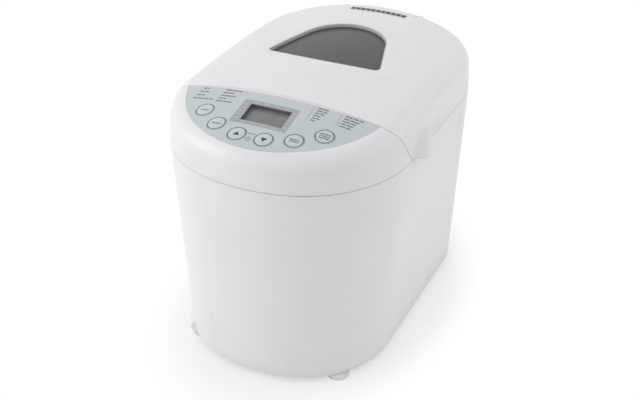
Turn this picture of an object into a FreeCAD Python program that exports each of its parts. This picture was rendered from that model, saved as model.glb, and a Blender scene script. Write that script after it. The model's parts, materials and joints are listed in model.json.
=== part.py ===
"""Bread machine, modelled as an assembly of separate pieces (millimetres).

Frame: the origin lies on the worktop under the middle of the body.
The control panel faces -Y, the hinge is at +Y and +Z is up.
"""
import FreeCAD
import Part
import math
import os

V = FreeCAD.Vector

# Walls and shared clearances
WALL = 2.6
ROOF_WALL = 3.4
SEAM_GAP = 0.8
SPLIT_GAP = 0.9
SLIP = 0.3
RUNNING = 0.05
SHEET = 1.2

# Bread pan, from which the oven and the casing take their size
PAN_HALF_X = 68.0
PAN_HALF_Y = 83.0
PAN_HEIGHT = 100.0
PAN_LIFT = 20.0
PAN_CORNER = 28.0
PAN_DRAFT = 6.0
PAN_WALL = 1.8
PAN_RIM_WIDTH = 3.0
PAN_RIM_HEIGHT = 4.0
FOOT_RING_RADIUS = 42.0
FOOT_RING_WALL = 3.0
PAN_EAR_INSET = 3.0
PAN_EAR_THICKNESS = 3.0
PAN_EAR_HALF = 6.0
HANDLE_RISE = 7.0
HANDLE_ARM = 54.0
HANDLE_WIRE = 2.5
HANDLE_BEND = 14.0
HANDLE_EYE = 4.0
HANDLE_STUB = 2.3
GRIP_RADIUS = 5.0
GRIP_LENGTH = 80.0
BLADE_HUB_RADIUS = 9.0
BLADE_HUB_TAPER = 2.0
BLADE_HUB_HEIGHT = 24.0
BLADE_REACH = 48.0
BLADE_HEIGHT = 20.0
BLADE_THICKNESS = 5.0
BLADE_LIFT = 1.0

# Oven chamber and what stands in it
OVEN_GAP_X = 24.0
OVEN_GAP_Y = 16.0
CHAMBER_CORNER = 40.0
CHAMBER_FLOOR = 80.0
CHAMBER_FLANGE = 8.0
SEAT_RADIUS = 48.0
SEAT_WALL = 3.0
SEAT_HEIGHT = 13.0
HOOK_HALF_ANGLE = 6.0
HOOK_REACH = 4.0
HOOK_DROP = 8.0
HOOK_THICKNESS = 3.0
LUG_HALF_ANGLE = 4.5
LUG_THICKNESS = 3.0
HEATER_RADIUS = 3.25
HEATER_GAP_X = 14.0
HEATER_GAP_Y = 15.0
HEATER_CORNER = 36.0
HEATER_LIFT = 11.0
HEATER_LEG_X = 14.0
HEATER_BEND = 9.0
HEATER_TAIL = 16.0
BUSHING_RADIUS = 6.0
BUSHING_HALF_LENGTH = 5.0
PROBE_X = 46.0
PROBE_LIFT = 40.0
PROBE_RADIUS = 3.0
PROBE_REACH = 7.0
SHIELD_GAP = 4.0
SHIELD_INSET = 12.0

# Drive train
SHAFT_RADIUS = 4.0
BUSH_RADIUS = 8.0
BUSH_LENGTH = 9.0
TUBE_RADIUS = 13.0
TUBE_FLANGE = 39.0
TUBE_COLLAR = 32.5
CHASSIS_SHEET = 2.0
CHASSIS_HALF_X = 75.0
CHASSIS_REACH_FRONT = 34.0
CHASSIS_REACH_BACK = 62.0
LEG_INSET_FRONT = 20.0
LEG_INSET_BACK = 10.0
LEG_TOE = 16.0
MOTOR_RADIUS = 36.0
MOTOR_SHIELD = 8.0
MOTOR_STACK = 40.0
ROTOR_RADIUS = 20.0
ROTOR_GAP = 0.6
MOTOR_BOLT_CIRCLE = 31.0
BOLT_RADIUS = 2.0
PULLEY_HEIGHT = 16.0
PULLEY_FLANGE = 3.0
PULLEY_FLANGE_HEIGHT = 2.0
BIG_PULLEY_RADIUS = 54.0
SMALL_PULLEY_RADIUS = 9.0
PULLEY_RIM = 5.0
PULLEY_HUB = 9.0
PULLEY_WEB = 5.0
BELT_GAP = 0.15
BELT_THICKNESS = 2.2
BELT_SIDE_GAP = 0.5
DOG_RADIUS = 15.0
DOG_INNER = 8.0
DOG_DISC = 4.0
DOG_PRONG = 9.0
DOG_WIDTH = 6.0
WING_WIDTH = 7.0

# Room left round the oven, the drive and the lid
SIDE_ROOM = 33.0
BACK_ROOM = 5.0
HINGE_INSET = 19.5
MOTOR_GAP = 1.8
FRONT_ROOM = 37.5
DRIVE_ROOM = 16.0
PULLEY_ROOM = 34.0
HANDLE_ROOM = 22.0
DECK_DROP = 5.0
LID_RISE = 56.0

# Plan of the casing at the seam, and how it draws in below
FOOT_HEIGHT = 6.0
NOSE_RADIUS = 157.0
FRONT_CORNER_RADIUS = 110.0
TAIL_RADIUS = 220.0
BACK_CORNER_RADIUS = 77.0
TAPER_SIDE = 12.4
TAPER_FRONT = 7.3
TAPER_BACK = 0.7

# Roof of nose and lid
CROWN_RADIUS = 510.0
CROWN_TIGHTEN = 0.45
NOSE_LENGTH = 88.5
NOTCH_SET = 30.0
KNEE_DROP = 13.0
PANEL_ANGLE = 14.0
LID_SLOPE = 0.1
LEVEL_INSET = 101.0
LEAN = 4.0
LEAN_HEIGHT = 70.0
SHOULDER_RADIUS = 20.0
SHOULDER_SHARE = 0.6

# Finger lip at the lid's front right corner
LIP_REACH = 13.0
LIP_OUT = 9.5
LIP_LENGTH = 56.0
LIP_HEIGHT = 21.0
LIP_TIP = 6.0
LIP_RIM = 1.2
LIP_STEPS = 5
LIP_CURVE = 0.6
LIP_RECEDE = 34.0
LIP_NEAR_SHARE = 0.78
LIP_FAR_SHARE = 0.94

# Lid hinge
BARREL_RADIUS = 7.4
BARREL_HALF = 40.0
EAR_WIDTH = 7.5
EAR_RADIUS = 4.4
PIN_RADIUS = 2.2
PIN_GRIP = 9.0

# Window and vent of the lid
WINDOW_SET = 89.0
WINDOW_HALF = 65.0
WINDOW_BOW = 9.0
WINDOW_BACK_RADIUS = 49.0
WINDOW_DEPTH = 45.5
WINDOW_CORNER = 7.0
WINDOW_MARGIN = 6.0
GLASS_THICKNESS = 3.0
FRAME_WALL = 1.0
FRAME_RECESS = 0.5
VENT_INSET = 14.5
LINER_VENT_SET = 9.5
VENT_HALF = 34.0
VENT_DEPTH = 10.0
VENT_FLANGE = 1.6
VENT_BARS = 11
VENT_BAR_WIDTH = 2.0

# Lid liner and gasket
LINER_INSET_X = 4.0
LINER_INSET_Y = 2.0
LINER_CORNER = 30.0
LINER_DROP = 10.0
LINER_STEP = 2.2
GASKET_WIDTH = 5.0

# Control panel, measured along its slope from the lid's front edge
PANEL_RADIUS = 109.0
PANEL_CENTRE = 30.0
PANEL_TOP = -2.6
OVERLAY_THICKNESS = 1.2
OVERLAY_GAP = 0.15
BUTTON_COUNT = 6
BUTTON_RADIUS = 9.3
BUTTON_GAP = 0.4
BUTTON_PROUD = 0.35
BUTTON_ARC_RADIUS = 89.7
BUTTON_ARC_CENTRE = 24.9
BUTTON_PITCH_ANGLE = 18.1
BUTTON_TRAVEL = 0.8
BUTTON_FLANGE = 1.6
BUTTON_STEM_RADIUS = 2.2
DISPLAY_HALF_X = 22.0
DISPLAY_HALF_Y = 12.1
DISPLAY_Y = -31.6
DISPLAY_BORDER = 3.0
DISPLAY_DEPTH = 4.3
BOARD_DEPTH = 22.0
BOARD_THICKNESS = 1.6
BOARD_HALF_X = 74.0
BOARD_FRONT = -70.0
BOARD_BACK = -8.0
BOARD_ARC_RADIUS = 99.0
SWITCH_SIZE = 6.0
SWITCH_HEIGHT = 5.0
SWITCH_PLUNGER = 1.0
SWITCH_FREE = 0.3
POST_RADIUS = 3.5
BOARD_POSTS = [(-56.0, -14.0), (56.0, -14.0), (0.0, -54.0)]

# Base, deck, columns and feet, with places given from the side and from the end
BASE_THICKNESS = 3.0
BASE_RECESS = 0.8
DECK_THICKNESS = 3.0
COLUMN_RADIUS = 6.0
COLUMN_FRONT = (27.0, 84.5)
COLUMN_BACK = (36.3, 35.8)
FOOT_RADIUS = 12.5
FOOT_TAPER = 1.0
FOOT_PEG = 5.0
FOOT_FRONT = (43.0, 47.5)
FOOT_BACK = (47.0, 50.5)
BASE_VENT_LENGTH = 60.0
BASE_VENT_WIDTH = 4.0
BASE_VENT_PITCH = 12.0
BASE_VENT_COUNT = 9
BASE_VENT_SET = 31.0
BACK_VENT_HEIGHT = 34.0
BACK_VENT_WIDTH = 3.0
BACK_VENT_DEPTH = 14.0
BACK_VENT_PITCH = 9.0
BACK_VENT_COUNT = 9
BACK_VENT_Z = 120.0

# Electrics beside the motor
CAPACITOR_X = 57.0
CAPACITOR_RADIUS = 15.0
CAPACITOR_HEIGHT = 46.0
TAG_SPREAD = 6.0
TAG_HALF_WIDTH = 3.0
TAG_HALF_THICKNESS = 1.0
TAG_HEIGHT = 6.0
POWER_BOARD_INSET = 2.0
POWER_BOARD_WIDTH = 30.0
POWER_BOARD_LENGTH = 62.0
POWER_BOARD_REACH = 28.0
POWER_PART_GAP = 4.0
TRANSFORMER_SIZE = (22.0, 20.0)
RELAY_SIZE = (12.0, 14.0)
TERMINAL_SIZE = (10.0, 11.0)
SPACER_RADIUS = 3.0
SPACER_HEIGHT = 4.0

# Cord gland in the middle of the back wall
GLAND_Z = 40.0
GLAND_BORE = 4.0
GLAND_NECK = 8.0
GLAND_FLANGE = 11.0
GLAND_FLANGE_THICKNESS = 2.5

# Screws
SCREW_SHANK = 1.6
SCREW_HEAD = 3.6
SCREW_HEAD_HEIGHT = 2.0
SCREW_LENGTH = 12.0
HOLE_EASE = 0.1

# Sizes and places along X and Y that follow from those above
CHAMBER_HALF_X = PAN_HALF_X + OVEN_GAP_X
CHAMBER_HALF_Y = PAN_HALF_Y + OVEN_GAP_Y
OVEN_LENGTH = 2 * CHAMBER_HALF_Y + CHAMBER_FLANGE + SHEET
MOTOR_BAY = HEATER_TAIL + MOTOR_GAP + 2 * MOTOR_RADIUS + FRONT_ROOM
WIDTH = 2 * (CHAMBER_HALF_X + SIDE_ROOM)
DEPTH = HINGE_INSET + BACK_ROOM + OVEN_LENGTH + MOTOR_BAY
HINGE_Y = DEPTH / 2 - HINGE_INSET
OVEN_Y = HINGE_Y - BACK_ROOM - CHAMBER_FLANGE - CHAMBER_HALF_Y
MOTOR_Y = -DEPTH / 2 + FRONT_ROOM + MOTOR_RADIUS
SPLIT_Y = -DEPTH / 2 + NOSE_LENGTH
NOTCH_Y = SPLIT_Y + NOTCH_SET
LID_LEVEL_Y = HINGE_Y - LEVEL_INSET
VENT_Y = HINGE_Y - VENT_INSET
WINDOW_Y = SPLIT_Y + WINDOW_SET
HEATER_HALF_X = CHAMBER_HALF_X - HEATER_GAP_X
HEATER_HALF_Y = CHAMBER_HALF_Y - HEATER_GAP_Y
SHIELD_HALF_X = CHAMBER_HALF_X - SHIELD_INSET
LINER_HALF_X = CHAMBER_HALF_X - LINER_INSET_X
LINER_HALF_Y = CHAMBER_HALF_Y - LINER_INSET_Y
PAN_EAR_Y = PAN_HALF_Y - PAN_EAR_INSET
CHASSIS_FRONT = MOTOR_Y - CHASSIS_REACH_FRONT
CHASSIS_BACK = OVEN_Y + CHASSIS_REACH_BACK
LEG_FRONT = CHASSIS_FRONT + LEG_INSET_FRONT
LEG_BACK = CHASSIS_BACK - LEG_INSET_BACK
BASE_VENT_Y = MOTOR_Y + BASE_VENT_SET
POWER_BOARD_X = -CHASSIS_HALF_X + POWER_BOARD_INSET
POWER_BOARD_Y = MOTOR_Y - POWER_BOARD_REACH
SIDE_REACH = WIDTH

# Heights that follow from those above
PAN_BOTTOM = CHAMBER_FLOOR + PAN_LIFT
PAN_RIM_Z = PAN_BOTTOM + PAN_HEIGHT
DECK_TOP = PAN_RIM_Z + HANDLE_ROOM
SEAM_Z = DECK_TOP + DECK_DROP
SPLIT_TOP_Z = SEAM_Z + LID_RISE
SPLIT_KNEE_Z = SPLIT_TOP_Z - KNEE_DROP
LINER_TOP = SPLIT_TOP_Z - LINER_DROP
LINER_FLANGE_Z = SEAM_Z + LINER_STEP
HEATER_Z = CHAMBER_FLOOR + HEATER_LIFT
PROBE_Z = CHAMBER_FLOOR + PROBE_LIFT
CHASSIS_TOP = CHAMBER_FLOOR - DRIVE_ROOM
PULLEY_BOTTOM = CHASSIS_TOP - PULLEY_ROOM
BODY_BOTTOM = FOOT_HEIGHT
BASE_BOTTOM = FOOT_HEIGHT + BASE_RECESS
BASE_TOP = BASE_BOTTOM + BASE_THICKNESS
BODY_TOP = SEAM_Z - SEAM_GAP / 2
UPPER_BOTTOM = SEAM_Z + SEAM_GAP / 2
ROOF_LIMIT = SPLIT_TOP_Z + LID_RISE
LOWEST_SECTION = SEAM_Z / 2


# Small shapes

def box(x0, x1, y0, y1, z0, z1):
    return Part.makeBox(x1 - x0, y1 - y0, z1 - z0, V(x0, y0, z0))


def rod(radius, start, end):
    start = V(*start)
    span = V(*end).sub(start)
    return Part.makeCylinder(radius, span.Length, start, span)


def post(radius, x, y, z0, z1):
    return rod(radius, (x, y, z0), (x, y, z1))


def tube(outer, inner, x, y, z0, z1):
    return post(outer, x, y, z0, z1).cut(post(inner, x, y, z0, z1))


def fuse_all(shapes):
    return shapes[0].fuse(shapes[1:]).removeSplitter()


def line(p, q):
    return Part.LineSegment(V(*p), V(*q)).toShape()


def arc(p, middle, q):
    return Part.Arc(V(*p), V(*middle), V(*q)).toShape()


def rounded_wire(half_x, half_y, radius, centre_y, z):
    """Closed rectangle with round corners, centred on x = 0."""
    edges = []
    diagonal = radius * math.sqrt(0.5)
    corners = [(1, -1), (1, 1), (-1, 1), (-1, -1)]
    for index, (sx, sy) in enumerate(corners):
        cx = sx * (half_x - radius)
        cy = centre_y + sy * (half_y - radius)
        end_point = (cx, cy + sy * radius, z)
        side_point = (cx + sx * radius, cy, z)
        middle = (cx + sx * diagonal, cy + sy * diagonal, z)
        turn = (end_point, side_point) if sx * sy < 0 else (side_point, end_point)
        edges.append(arc(turn[0], middle, turn[1]))
        nx, ny = corners[(index + 1) % 4]
        if sx == nx:
            far = (cx + sx * radius, centre_y + ny * (half_y - radius), z)
        else:
            far = (nx * (half_x - radius), cy + sy * radius, z)
        edges.append(line(turn[1], far))
    return Part.Wire(edges)


def rounded_block(half_x, half_y, radius, centre_y, z0, z1):
    face = Part.Face(rounded_wire(half_x, half_y, radius, centre_y, z0))
    return face.extrude(V(0, 0, z1 - z0))


def along_x(points, half):
    """Extrude a (y, z) polygon along X, both ways from the middle."""
    corners = [V(-half, y, z) for y, z in points]
    face = Part.Face(Part.makePolygon(corners + corners[:1]))
    return face.extrude(V(2 * half, 0, 0))


def four_places(front, back):
    """Left and right places at the front and the back, given from the side and from the end."""
    ends = [(WIDTH / 2 - front[0], -DEPTH / 2 + front[1]), (WIDTH / 2 - back[0], DEPTH / 2 - back[1])]
    return [(side * x, y) for x, y in ends for side in (1, -1)]


def screw(place, into, shank=SCREW_SHANK, head=SCREW_HEAD, length=SCREW_LENGTH):
    """Pan-head screw: the head's seat is at place and the shank runs along into."""
    place = V(*place)
    into = V(*into)
    shank_part = Part.makeCylinder(shank, length, place, into)
    head_part = Part.makeCylinder(head, SCREW_HEAD_HEIGHT, place, into.negative())
    return shank_part.fuse(head_part).removeSplitter()


def screw_hole(place, into, shank=SCREW_SHANK, length=SCREW_LENGTH):
    into = V(*into)
    start = V(*place).sub(V(into).multiply(SLIP))
    return Part.makeCylinder(shank + HOLE_EASE, length + 2 * SLIP, start, into)


# Plan outline of the casing

def plan(z, inset):
    """Half width, front, back and the four radii of the outline at a height."""
    if z < SEAM_Z:
        share = (SEAM_Z - z) / (SEAM_Z - BODY_BOTTOM)
        side, front, back = TAPER_SIDE * share, TAPER_FRONT * share, TAPER_BACK * share
    else:
        side = LEAN * (z - SEAM_Z) / LEAN_HEIGHT
        front, back = side, side
    shrink = side + inset
    return {
        "half": WIDTH / 2 - shrink,
        "front": -DEPTH / 2 + front + inset,
        "back": DEPTH / 2 - back - inset,
        "nose": NOSE_RADIUS - shrink,
        "front_corner": FRONT_CORNER_RADIUS - shrink,
        "tail": TAIL_RADIUS - shrink,
        "back_corner": BACK_CORNER_RADIUS - shrink,
    }


def corner_geometry(half, end_radius, corner_radius):
    """Distance of the corner centre behind the end centre, and the joint's angle."""
    across = half - corner_radius
    down = math.sqrt((end_radius - corner_radius) ** 2 - across ** 2)
    return across, down, math.atan2(across, down)


def outline(z, inset):
    p = plan(z, inset)
    half = p["half"]
    edges = []
    ends = []
    plans = [(p["nose"], p["front_corner"], p["front"], -1), (p["tail"], p["back_corner"], p["back"], 1)]
    for radius, turn, start, sign in plans:
        across, down, angle = corner_geometry(half, radius, turn)
        centre = start - sign * radius
        joint = (radius * math.sin(angle), centre + sign * radius * math.cos(angle))
        corner_y = centre + sign * down
        bisector = (angle + math.pi / 2) / 2
        middle = (across + turn * math.sin(bisector), corner_y + sign * turn * math.cos(bisector))
        ends.append({"tip": start, "joint": joint, "middle": middle, "side": corner_y})
    front, back = ends
    edges.append(arc((-front["joint"][0], front["joint"][1], z), (0, front["tip"], z), (*front["joint"], z)))
    edges.append(arc((*front["joint"], z), (*front["middle"], z), (half, front["side"], z)))
    edges.append(line((half, front["side"], z), (half, back["side"], z)))
    edges.append(arc((half, back["side"], z), (*back["middle"], z), (*back["joint"], z)))
    edges.append(arc((*back["joint"], z), (0, back["tip"], z), (-back["joint"][0], back["joint"][1], z)))
    edges.append(arc((-back["joint"][0], back["joint"][1], z), (-back["middle"][0], back["middle"][1], z),
                     (-half, back["side"], z)))
    edges.append(line((-half, back["side"], z), (-half, front["side"], z)))
    edges.append(arc((-half, front["side"], z), (-front["middle"][0], front["middle"][1], z),
                     (-front["joint"][0], front["joint"][1], z)))
    return Part.Wire(edges)


def casing(z0, z1, inset):
    """Solid casing between two heights on the same side of the seam."""
    return Part.makeLoft([outline(z0, inset), outline(z1, inset)], True, True)


def slab(z0, z1, inset):
    """Straight-sided plate with the outline that the casing has at its lower height."""
    return Part.Face(outline(z0, inset)).extrude(V(0, 0, z1 - z0))


# Roof surfaces

def crown(x):
    return CROWN_RADIUS - math.sqrt(CROWN_RADIUS ** 2 - x ** 2)


def lid_height(y):
    run = y - SPLIT_Y
    return SPLIT_TOP_Z + LID_SLOPE * run - LID_SLOPE / (2 * (LID_LEVEL_Y - SPLIT_Y)) * run ** 2


def panel_height(y):
    return SPLIT_TOP_Z + math.tan(math.radians(PANEL_ANGLE)) * (y - SPLIT_Y)


def panel_crown(y):
    return CROWN_RADIUS


def lid_crown(y):
    """Radius of the lid's roof across, which tightens from the split towards the back."""
    return CROWN_RADIUS - CROWN_TIGHTEN * (y - SPLIT_Y)


def crown_section(y, top, radius):
    half = WIDTH / 2 + WALL
    low = top - radius + math.sqrt(radius ** 2 - half ** 2)
    left, right = (-half, y, low), (half, y, low)
    edges = [arc(left, (0, y, top), right)]
    edges.append(line(right, (half, y, LOWEST_SECTION)))
    edges.append(line((half, y, LOWEST_SECTION), (-half, y, LOWEST_SECTION)))
    edges.append(line((-half, y, LOWEST_SECTION), left))
    return Part.Wire(edges)


def under_roof(height, crown_at, inset, places):
    sections = [crown_section(y, height(y) - inset, crown_at(y) - inset) for y in places]
    return Part.makeLoft(sections, True, len(places) == 2)


def roof_edges(shape):
    """Edges round the upward face of a casing."""
    best = None
    for face in shape.Faces:
        u0, u1, v0, v1 = face.ParameterRange
        normal = face.normalAt((u0 + u1) / 2, (v0 + v1) / 2)
        if normal.z > 0.5 and (best is None or face.Area > best.Area):
            best = face
    return best.OuterWire.Edges


def shoulder_radius():
    """Radius of the shoulder, limited by the height of the nose's front wall."""
    return min(SHOULDER_RADIUS, SHOULDER_SHARE * (panel_height(-DEPTH / 2) - SEAM_Z))


def upper_envelope(height, crown_at, places, wall, roof_wall):
    """Nose or lid form above the seam, with its rounded shoulder."""
    form = casing(SEAM_Z, ROOF_LIMIT, wall).common(under_roof(height, crown_at, roof_wall, places))
    return form.makeFillet(shoulder_radius() - wall, roof_edges(form))


def nose_envelope(wall, roof_wall):
    return upper_envelope(panel_height, panel_crown, (-DEPTH, 0.0), wall, roof_wall)


def lid_envelope(wall, roof_wall):
    reach = DEPTH / 2 + SIDE_REACH / 4
    return upper_envelope(lid_height, lid_crown, (-reach, 0.0, reach), wall, roof_wall)


def front_region(offset):
    """Space in front of the split between nose and lid, moved forward by an offset."""
    notch, split = NOTCH_Y - offset, SPLIT_Y - offset
    return along_x([(-DEPTH, 0), (notch, 0), (notch, SEAM_Z), (split, SPLIT_KNEE_Z),
                    (split, ROOF_LIMIT), (-DEPTH, ROOF_LIMIT)], SIDE_REACH)


def lid_region(offset):
    """Space between the split and the hinge, drawn in by an offset."""
    notch, split, back = NOTCH_Y + offset, SPLIT_Y + offset, HINGE_Y - offset
    return along_x([(notch, 0), (notch, SEAM_Z), (split, SPLIT_KNEE_Z),
                    (split, ROOF_LIMIT), (back, ROOF_LIMIT), (back, 0)], SIDE_REACH)


def above(z):
    return box(-SIDE_REACH, SIDE_REACH, -DEPTH, DEPTH, z, ROOF_LIMIT)


HINGE_Z = lid_height(HINGE_Y) - BARREL_RADIUS


# Body, base and deck

def column_screws(top):
    """Seats and directions of the screws at one end of the columns."""
    places = four_places(COLUMN_FRONT, COLUMN_BACK)
    if top:
        return [((x, y, DECK_TOP), (0, 0, -1)) for x, y in places]
    return [((x, y, BASE_BOTTOM), (0, 0, 1)) for x, y in places]


def columns():
    """Four columns that tie the base plate to the deck."""
    holes = [screw_hole(place, into) for place, into in column_screws(True) + column_screws(False)]
    shapes = []
    for x, y in four_places(COLUMN_FRONT, COLUMN_BACK):
        shapes.append(post(COLUMN_RADIUS, x, y, BASE_TOP, DECK_TOP - DECK_THICKNESS).cut(holes))
    return Part.Compound(shapes)


def body_shell():
    shell = casing(BODY_BOTTOM, BODY_TOP, 0).cut(casing(BODY_BOTTOM, BODY_TOP, WALL))
    back = plan(BACK_VENT_Z, 0)["back"]
    tools = [gland_tool(GLAND_NECK + RUNNING)]
    for index in range(BACK_VENT_COUNT):
        x = (index - (BACK_VENT_COUNT - 1) / 2) * BACK_VENT_PITCH
        half = BACK_VENT_WIDTH / 2
        tools.append(box(x - half, x + half, back - BACK_VENT_DEPTH, back + WALL,
                         BACK_VENT_Z, BACK_VENT_Z + BACK_VENT_HEIGHT))
    return shell.cut(tools)


def base_plate():
    plate = slab(BASE_BOTTOM, BASE_TOP, WALL + SLIP)
    tools = [screw_hole(place, into) for place, into in column_screws(False) + chassis_screw_seats()]
    for index in range(BASE_VENT_COUNT):
        x = (index - (BASE_VENT_COUNT - 1) / 2) * BASE_VENT_PITCH
        half = BASE_VENT_WIDTH / 2
        tools.append(box(x - half, x + half, BASE_VENT_Y, BASE_VENT_Y + BASE_VENT_LENGTH, 0, SEAM_Z / 2))
    return plate.cut(tools)


def feet():
    """Rubber pads under the body's edge, each on a peg that meets the base plate."""
    top = BODY_BOTTOM - SLIP
    pads = []
    for x, y in four_places(FOOT_FRONT, FOOT_BACK):
        pad = Part.makeCone(FOOT_RADIUS - FOOT_TAPER, FOOT_RADIUS, top, V(x, y, 0))
        pads.append(fuse_all([pad, post(FOOT_PEG, x, y, top, BASE_BOTTOM)]))
    return Part.Compound(pads)


def deck():
    plate = slab(DECK_TOP - DECK_THICKNESS, DECK_TOP, WALL + SLIP)
    mouth = rounded_block(CHAMBER_HALF_X + SHEET + SLIP, CHAMBER_HALF_Y + SHEET + SLIP,
                          CHAMBER_CORNER + SHEET + SLIP, OVEN_Y,
                          DECK_TOP - 2 * DECK_THICKNESS, DECK_TOP + SLIP)
    return plate.cut([mouth] + [screw_hole(place, into) for place, into in column_screws(True)])


def screw_group(seats):
    return Part.Compound([screw(place, into) for place, into in seats])


# Nose: control housing, panel and electronics

PANEL_PLACE = FreeCAD.Placement(V(0, SPLIT_Y, SPLIT_TOP_Z), FreeCAD.Rotation(V(1, 0, 0), PANEL_ANGLE))


def on_panel(shape):
    """Move a shape from panel coordinates (z = 0 at the panel's crest) into place."""
    placed = shape.copy()
    placed.Placement = PANEL_PLACE.multiply(placed.Placement)
    return placed


def panel_cylinder(inset):
    length = 2 * DEPTH
    return Part.makeCylinder(CROWN_RADIUS - inset, length, V(0, -length / 2, -CROWN_RADIUS), V(0, 1, 0))


def panel_block(grow, z0, z1):
    disc = post(PANEL_RADIUS + grow, 0, PANEL_CENTRE, z0, z1)
    return disc.common(box(-SIDE_REACH, SIDE_REACH, -DEPTH, PANEL_TOP + grow, z0, z1))


def button_places():
    """Angle about the crown axis and place along the slope of each button."""
    places = []
    for index in range(BUTTON_COUNT):
        angle = math.radians((index - (BUTTON_COUNT - 1) / 2) * BUTTON_PITCH_ANGLE)
        x = BUTTON_ARC_RADIUS * math.sin(angle)
        y = BUTTON_ARC_CENTRE - BUTTON_ARC_RADIUS * math.cos(angle)
        places.append((math.asin(x / CROWN_RADIUS), y))
    return places


def at_button(shape, roll):
    """Turn a shape made at x = 0 about the crown's axis, then place it on the panel."""
    turned = shape.copy()
    turned.rotate(V(0, 0, -CROWN_RADIUS), V(0, 1, 0), math.degrees(roll))
    return on_panel(turned)


def display_block(grow, z0, z1):
    return box(-DISPLAY_HALF_X - grow, DISPLAY_HALF_X + grow, DISPLAY_Y - DISPLAY_HALF_Y - grow,
               DISPLAY_Y + DISPLAY_HALF_Y + grow, z0, z1)


def button_holes():
    return [at_button(post(BUTTON_RADIUS + BUTTON_GAP, 0, y, -BOARD_DEPTH / 2, BOARD_DEPTH), roll)
            for roll, y in button_places()]


def board_screw_seats():
    low = -BOARD_DEPTH - BOARD_THICKNESS
    return [((x, y, low), (0, 0, 1)) for x, y in BOARD_POSTS]


def seat_lip(front_limit, back_limit):
    """Locating lip: it hangs inside the seam from the upper wall and stands on the deck."""
    top = UPPER_BOTTOM + WALL
    outer = Part.Face(outline(SEAM_Z, WALL + SLIP)).extrude(V(0, 0, UPPER_BOTTOM - DECK_TOP))
    outer.translate(V(0, 0, DECK_TOP - SEAM_Z))
    bridge = casing(UPPER_BOTTOM, top, WALL / 2)
    inner = Part.Face(outline(SEAM_Z, 2 * WALL + SLIP)).extrude(V(0, 0, top - DECK_TOP))
    inner.translate(V(0, 0, DECK_TOP - SEAM_Z))
    ring = outer.fuse(bridge).cut(inner)
    return ring.common(box(-SIDE_REACH, SIDE_REACH, front_limit, back_limit, 0, ROOF_LIMIT))


def control_housing():
    half = SPLIT_GAP / 2
    shell = nose_envelope(0, 0).common(front_region(half)).common(above(UPPER_BOTTOM))
    shell = shell.cut(nose_envelope(WALL, ROOF_WALL).common(front_region(half + WALL)))
    shell = shell.fuse(seat_lip(-DEPTH, NOTCH_Y - half - WALL)).removeSplitter()
    pocket = panel_block(OVERLAY_GAP, -BOARD_DEPTH, BOARD_DEPTH).cut(panel_cylinder(OVERLAY_THICKNESS))
    posts = []
    for x, y in BOARD_POSTS:
        top = -crown(x) - ROOF_WALL + SLIP
        posts.append(on_panel(post(POST_RADIUS, x, y, -BOARD_DEPTH, top)))
    shell = shell.fuse(posts).removeSplitter()
    tools = [on_panel(pocket), on_panel(display_block(SLIP, -BOARD_DEPTH / 2, BOARD_DEPTH))] + button_holes()
    tools += [on_panel(screw_hole(place, into, length=SCREW_LENGTH)) for place, into in board_screw_seats()]
    return shell.cut(tools)


def panel_overlay():
    sheet = panel_block(0, -BOARD_DEPTH, BOARD_DEPTH).common(panel_cylinder(0))
    sheet = sheet.cut([panel_cylinder(OVERLAY_THICKNESS), display_block(0, -BOARD_DEPTH, BOARD_DEPTH)])
    return on_panel(sheet).cut(button_holes())


def switch_top():
    return -BOARD_DEPTH + SWITCH_HEIGHT


def button(roll, y):
    flange_top = -ROOF_WALL - SLIP - BUTTON_GAP
    stem_end = CROWN_RADIUS - (CROWN_RADIUS + switch_top() + BUTTON_TRAVEL + SWITCH_FREE) / math.cos(roll)
    cap = post(BUTTON_RADIUS, 0, y, flange_top, BUTTON_PROUD)
    flange = post(BUTTON_RADIUS + BUTTON_FLANGE, 0, y, flange_top - BUTTON_FLANGE, flange_top)
    stem = post(BUTTON_STEM_RADIUS, 0, y, -stem_end, flange_top)
    return at_button(fuse_all([cap, flange, stem]), roll)


def switches():
    bodies = []
    for roll, y in button_places():
        x = (CROWN_RADIUS + switch_top()) * math.tan(roll)
        half = SWITCH_SIZE / 2
        base = box(x - half, x + half, y - half, y + half, -BOARD_DEPTH, switch_top() - SWITCH_PLUNGER)
        plunger = post(BUTTON_STEM_RADIUS - SLIP, x, y, switch_top() - SWITCH_PLUNGER, switch_top())
        bodies.append(on_panel(fuse_all([base, plunger])))
    return Part.Compound(bodies)


def control_board():
    bottom = -BOARD_DEPTH - BOARD_THICKNESS
    board = box(-BOARD_HALF_X, BOARD_HALF_X, BOARD_FRONT, BOARD_BACK, bottom, -BOARD_DEPTH)
    board = board.common(post(BOARD_ARC_RADIUS, 0, BUTTON_ARC_CENTRE, bottom, -BOARD_DEPTH))
    return on_panel(board.cut([screw_hole(place, into) for place, into in board_screw_seats()]))


def display_module():
    return on_panel(display_block(DISPLAY_BORDER, -BOARD_DEPTH, -DISPLAY_DEPTH))


def board_screws():
    return Part.Compound([on_panel(screw(place, into)) for place, into in board_screw_seats()])


# Lid

def window_wire(grow, z):
    """Window outline: bowed front, straight sides closing in, round back."""
    half, radius = WINDOW_HALF + grow, WINDOW_BACK_RADIUS + grow
    front, back = WINDOW_Y - grow, WINDOW_Y + WINDOW_DEPTH
    right, left = (half, front, z), (-half, front, z)
    drop = front - back
    angle = math.atan2(drop, half) + math.acos(radius / math.hypot(half, drop))
    touch = (radius * math.cos(angle), back + radius * math.sin(angle), z)
    mirror = (-touch[0], touch[1], z)
    edges = [arc(left, (0, front - WINDOW_BOW, z), right), line(right, touch)]
    edges += [arc(touch, (0, back + radius, z), mirror), line(mirror, left)]
    return Part.Wire(edges)


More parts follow.
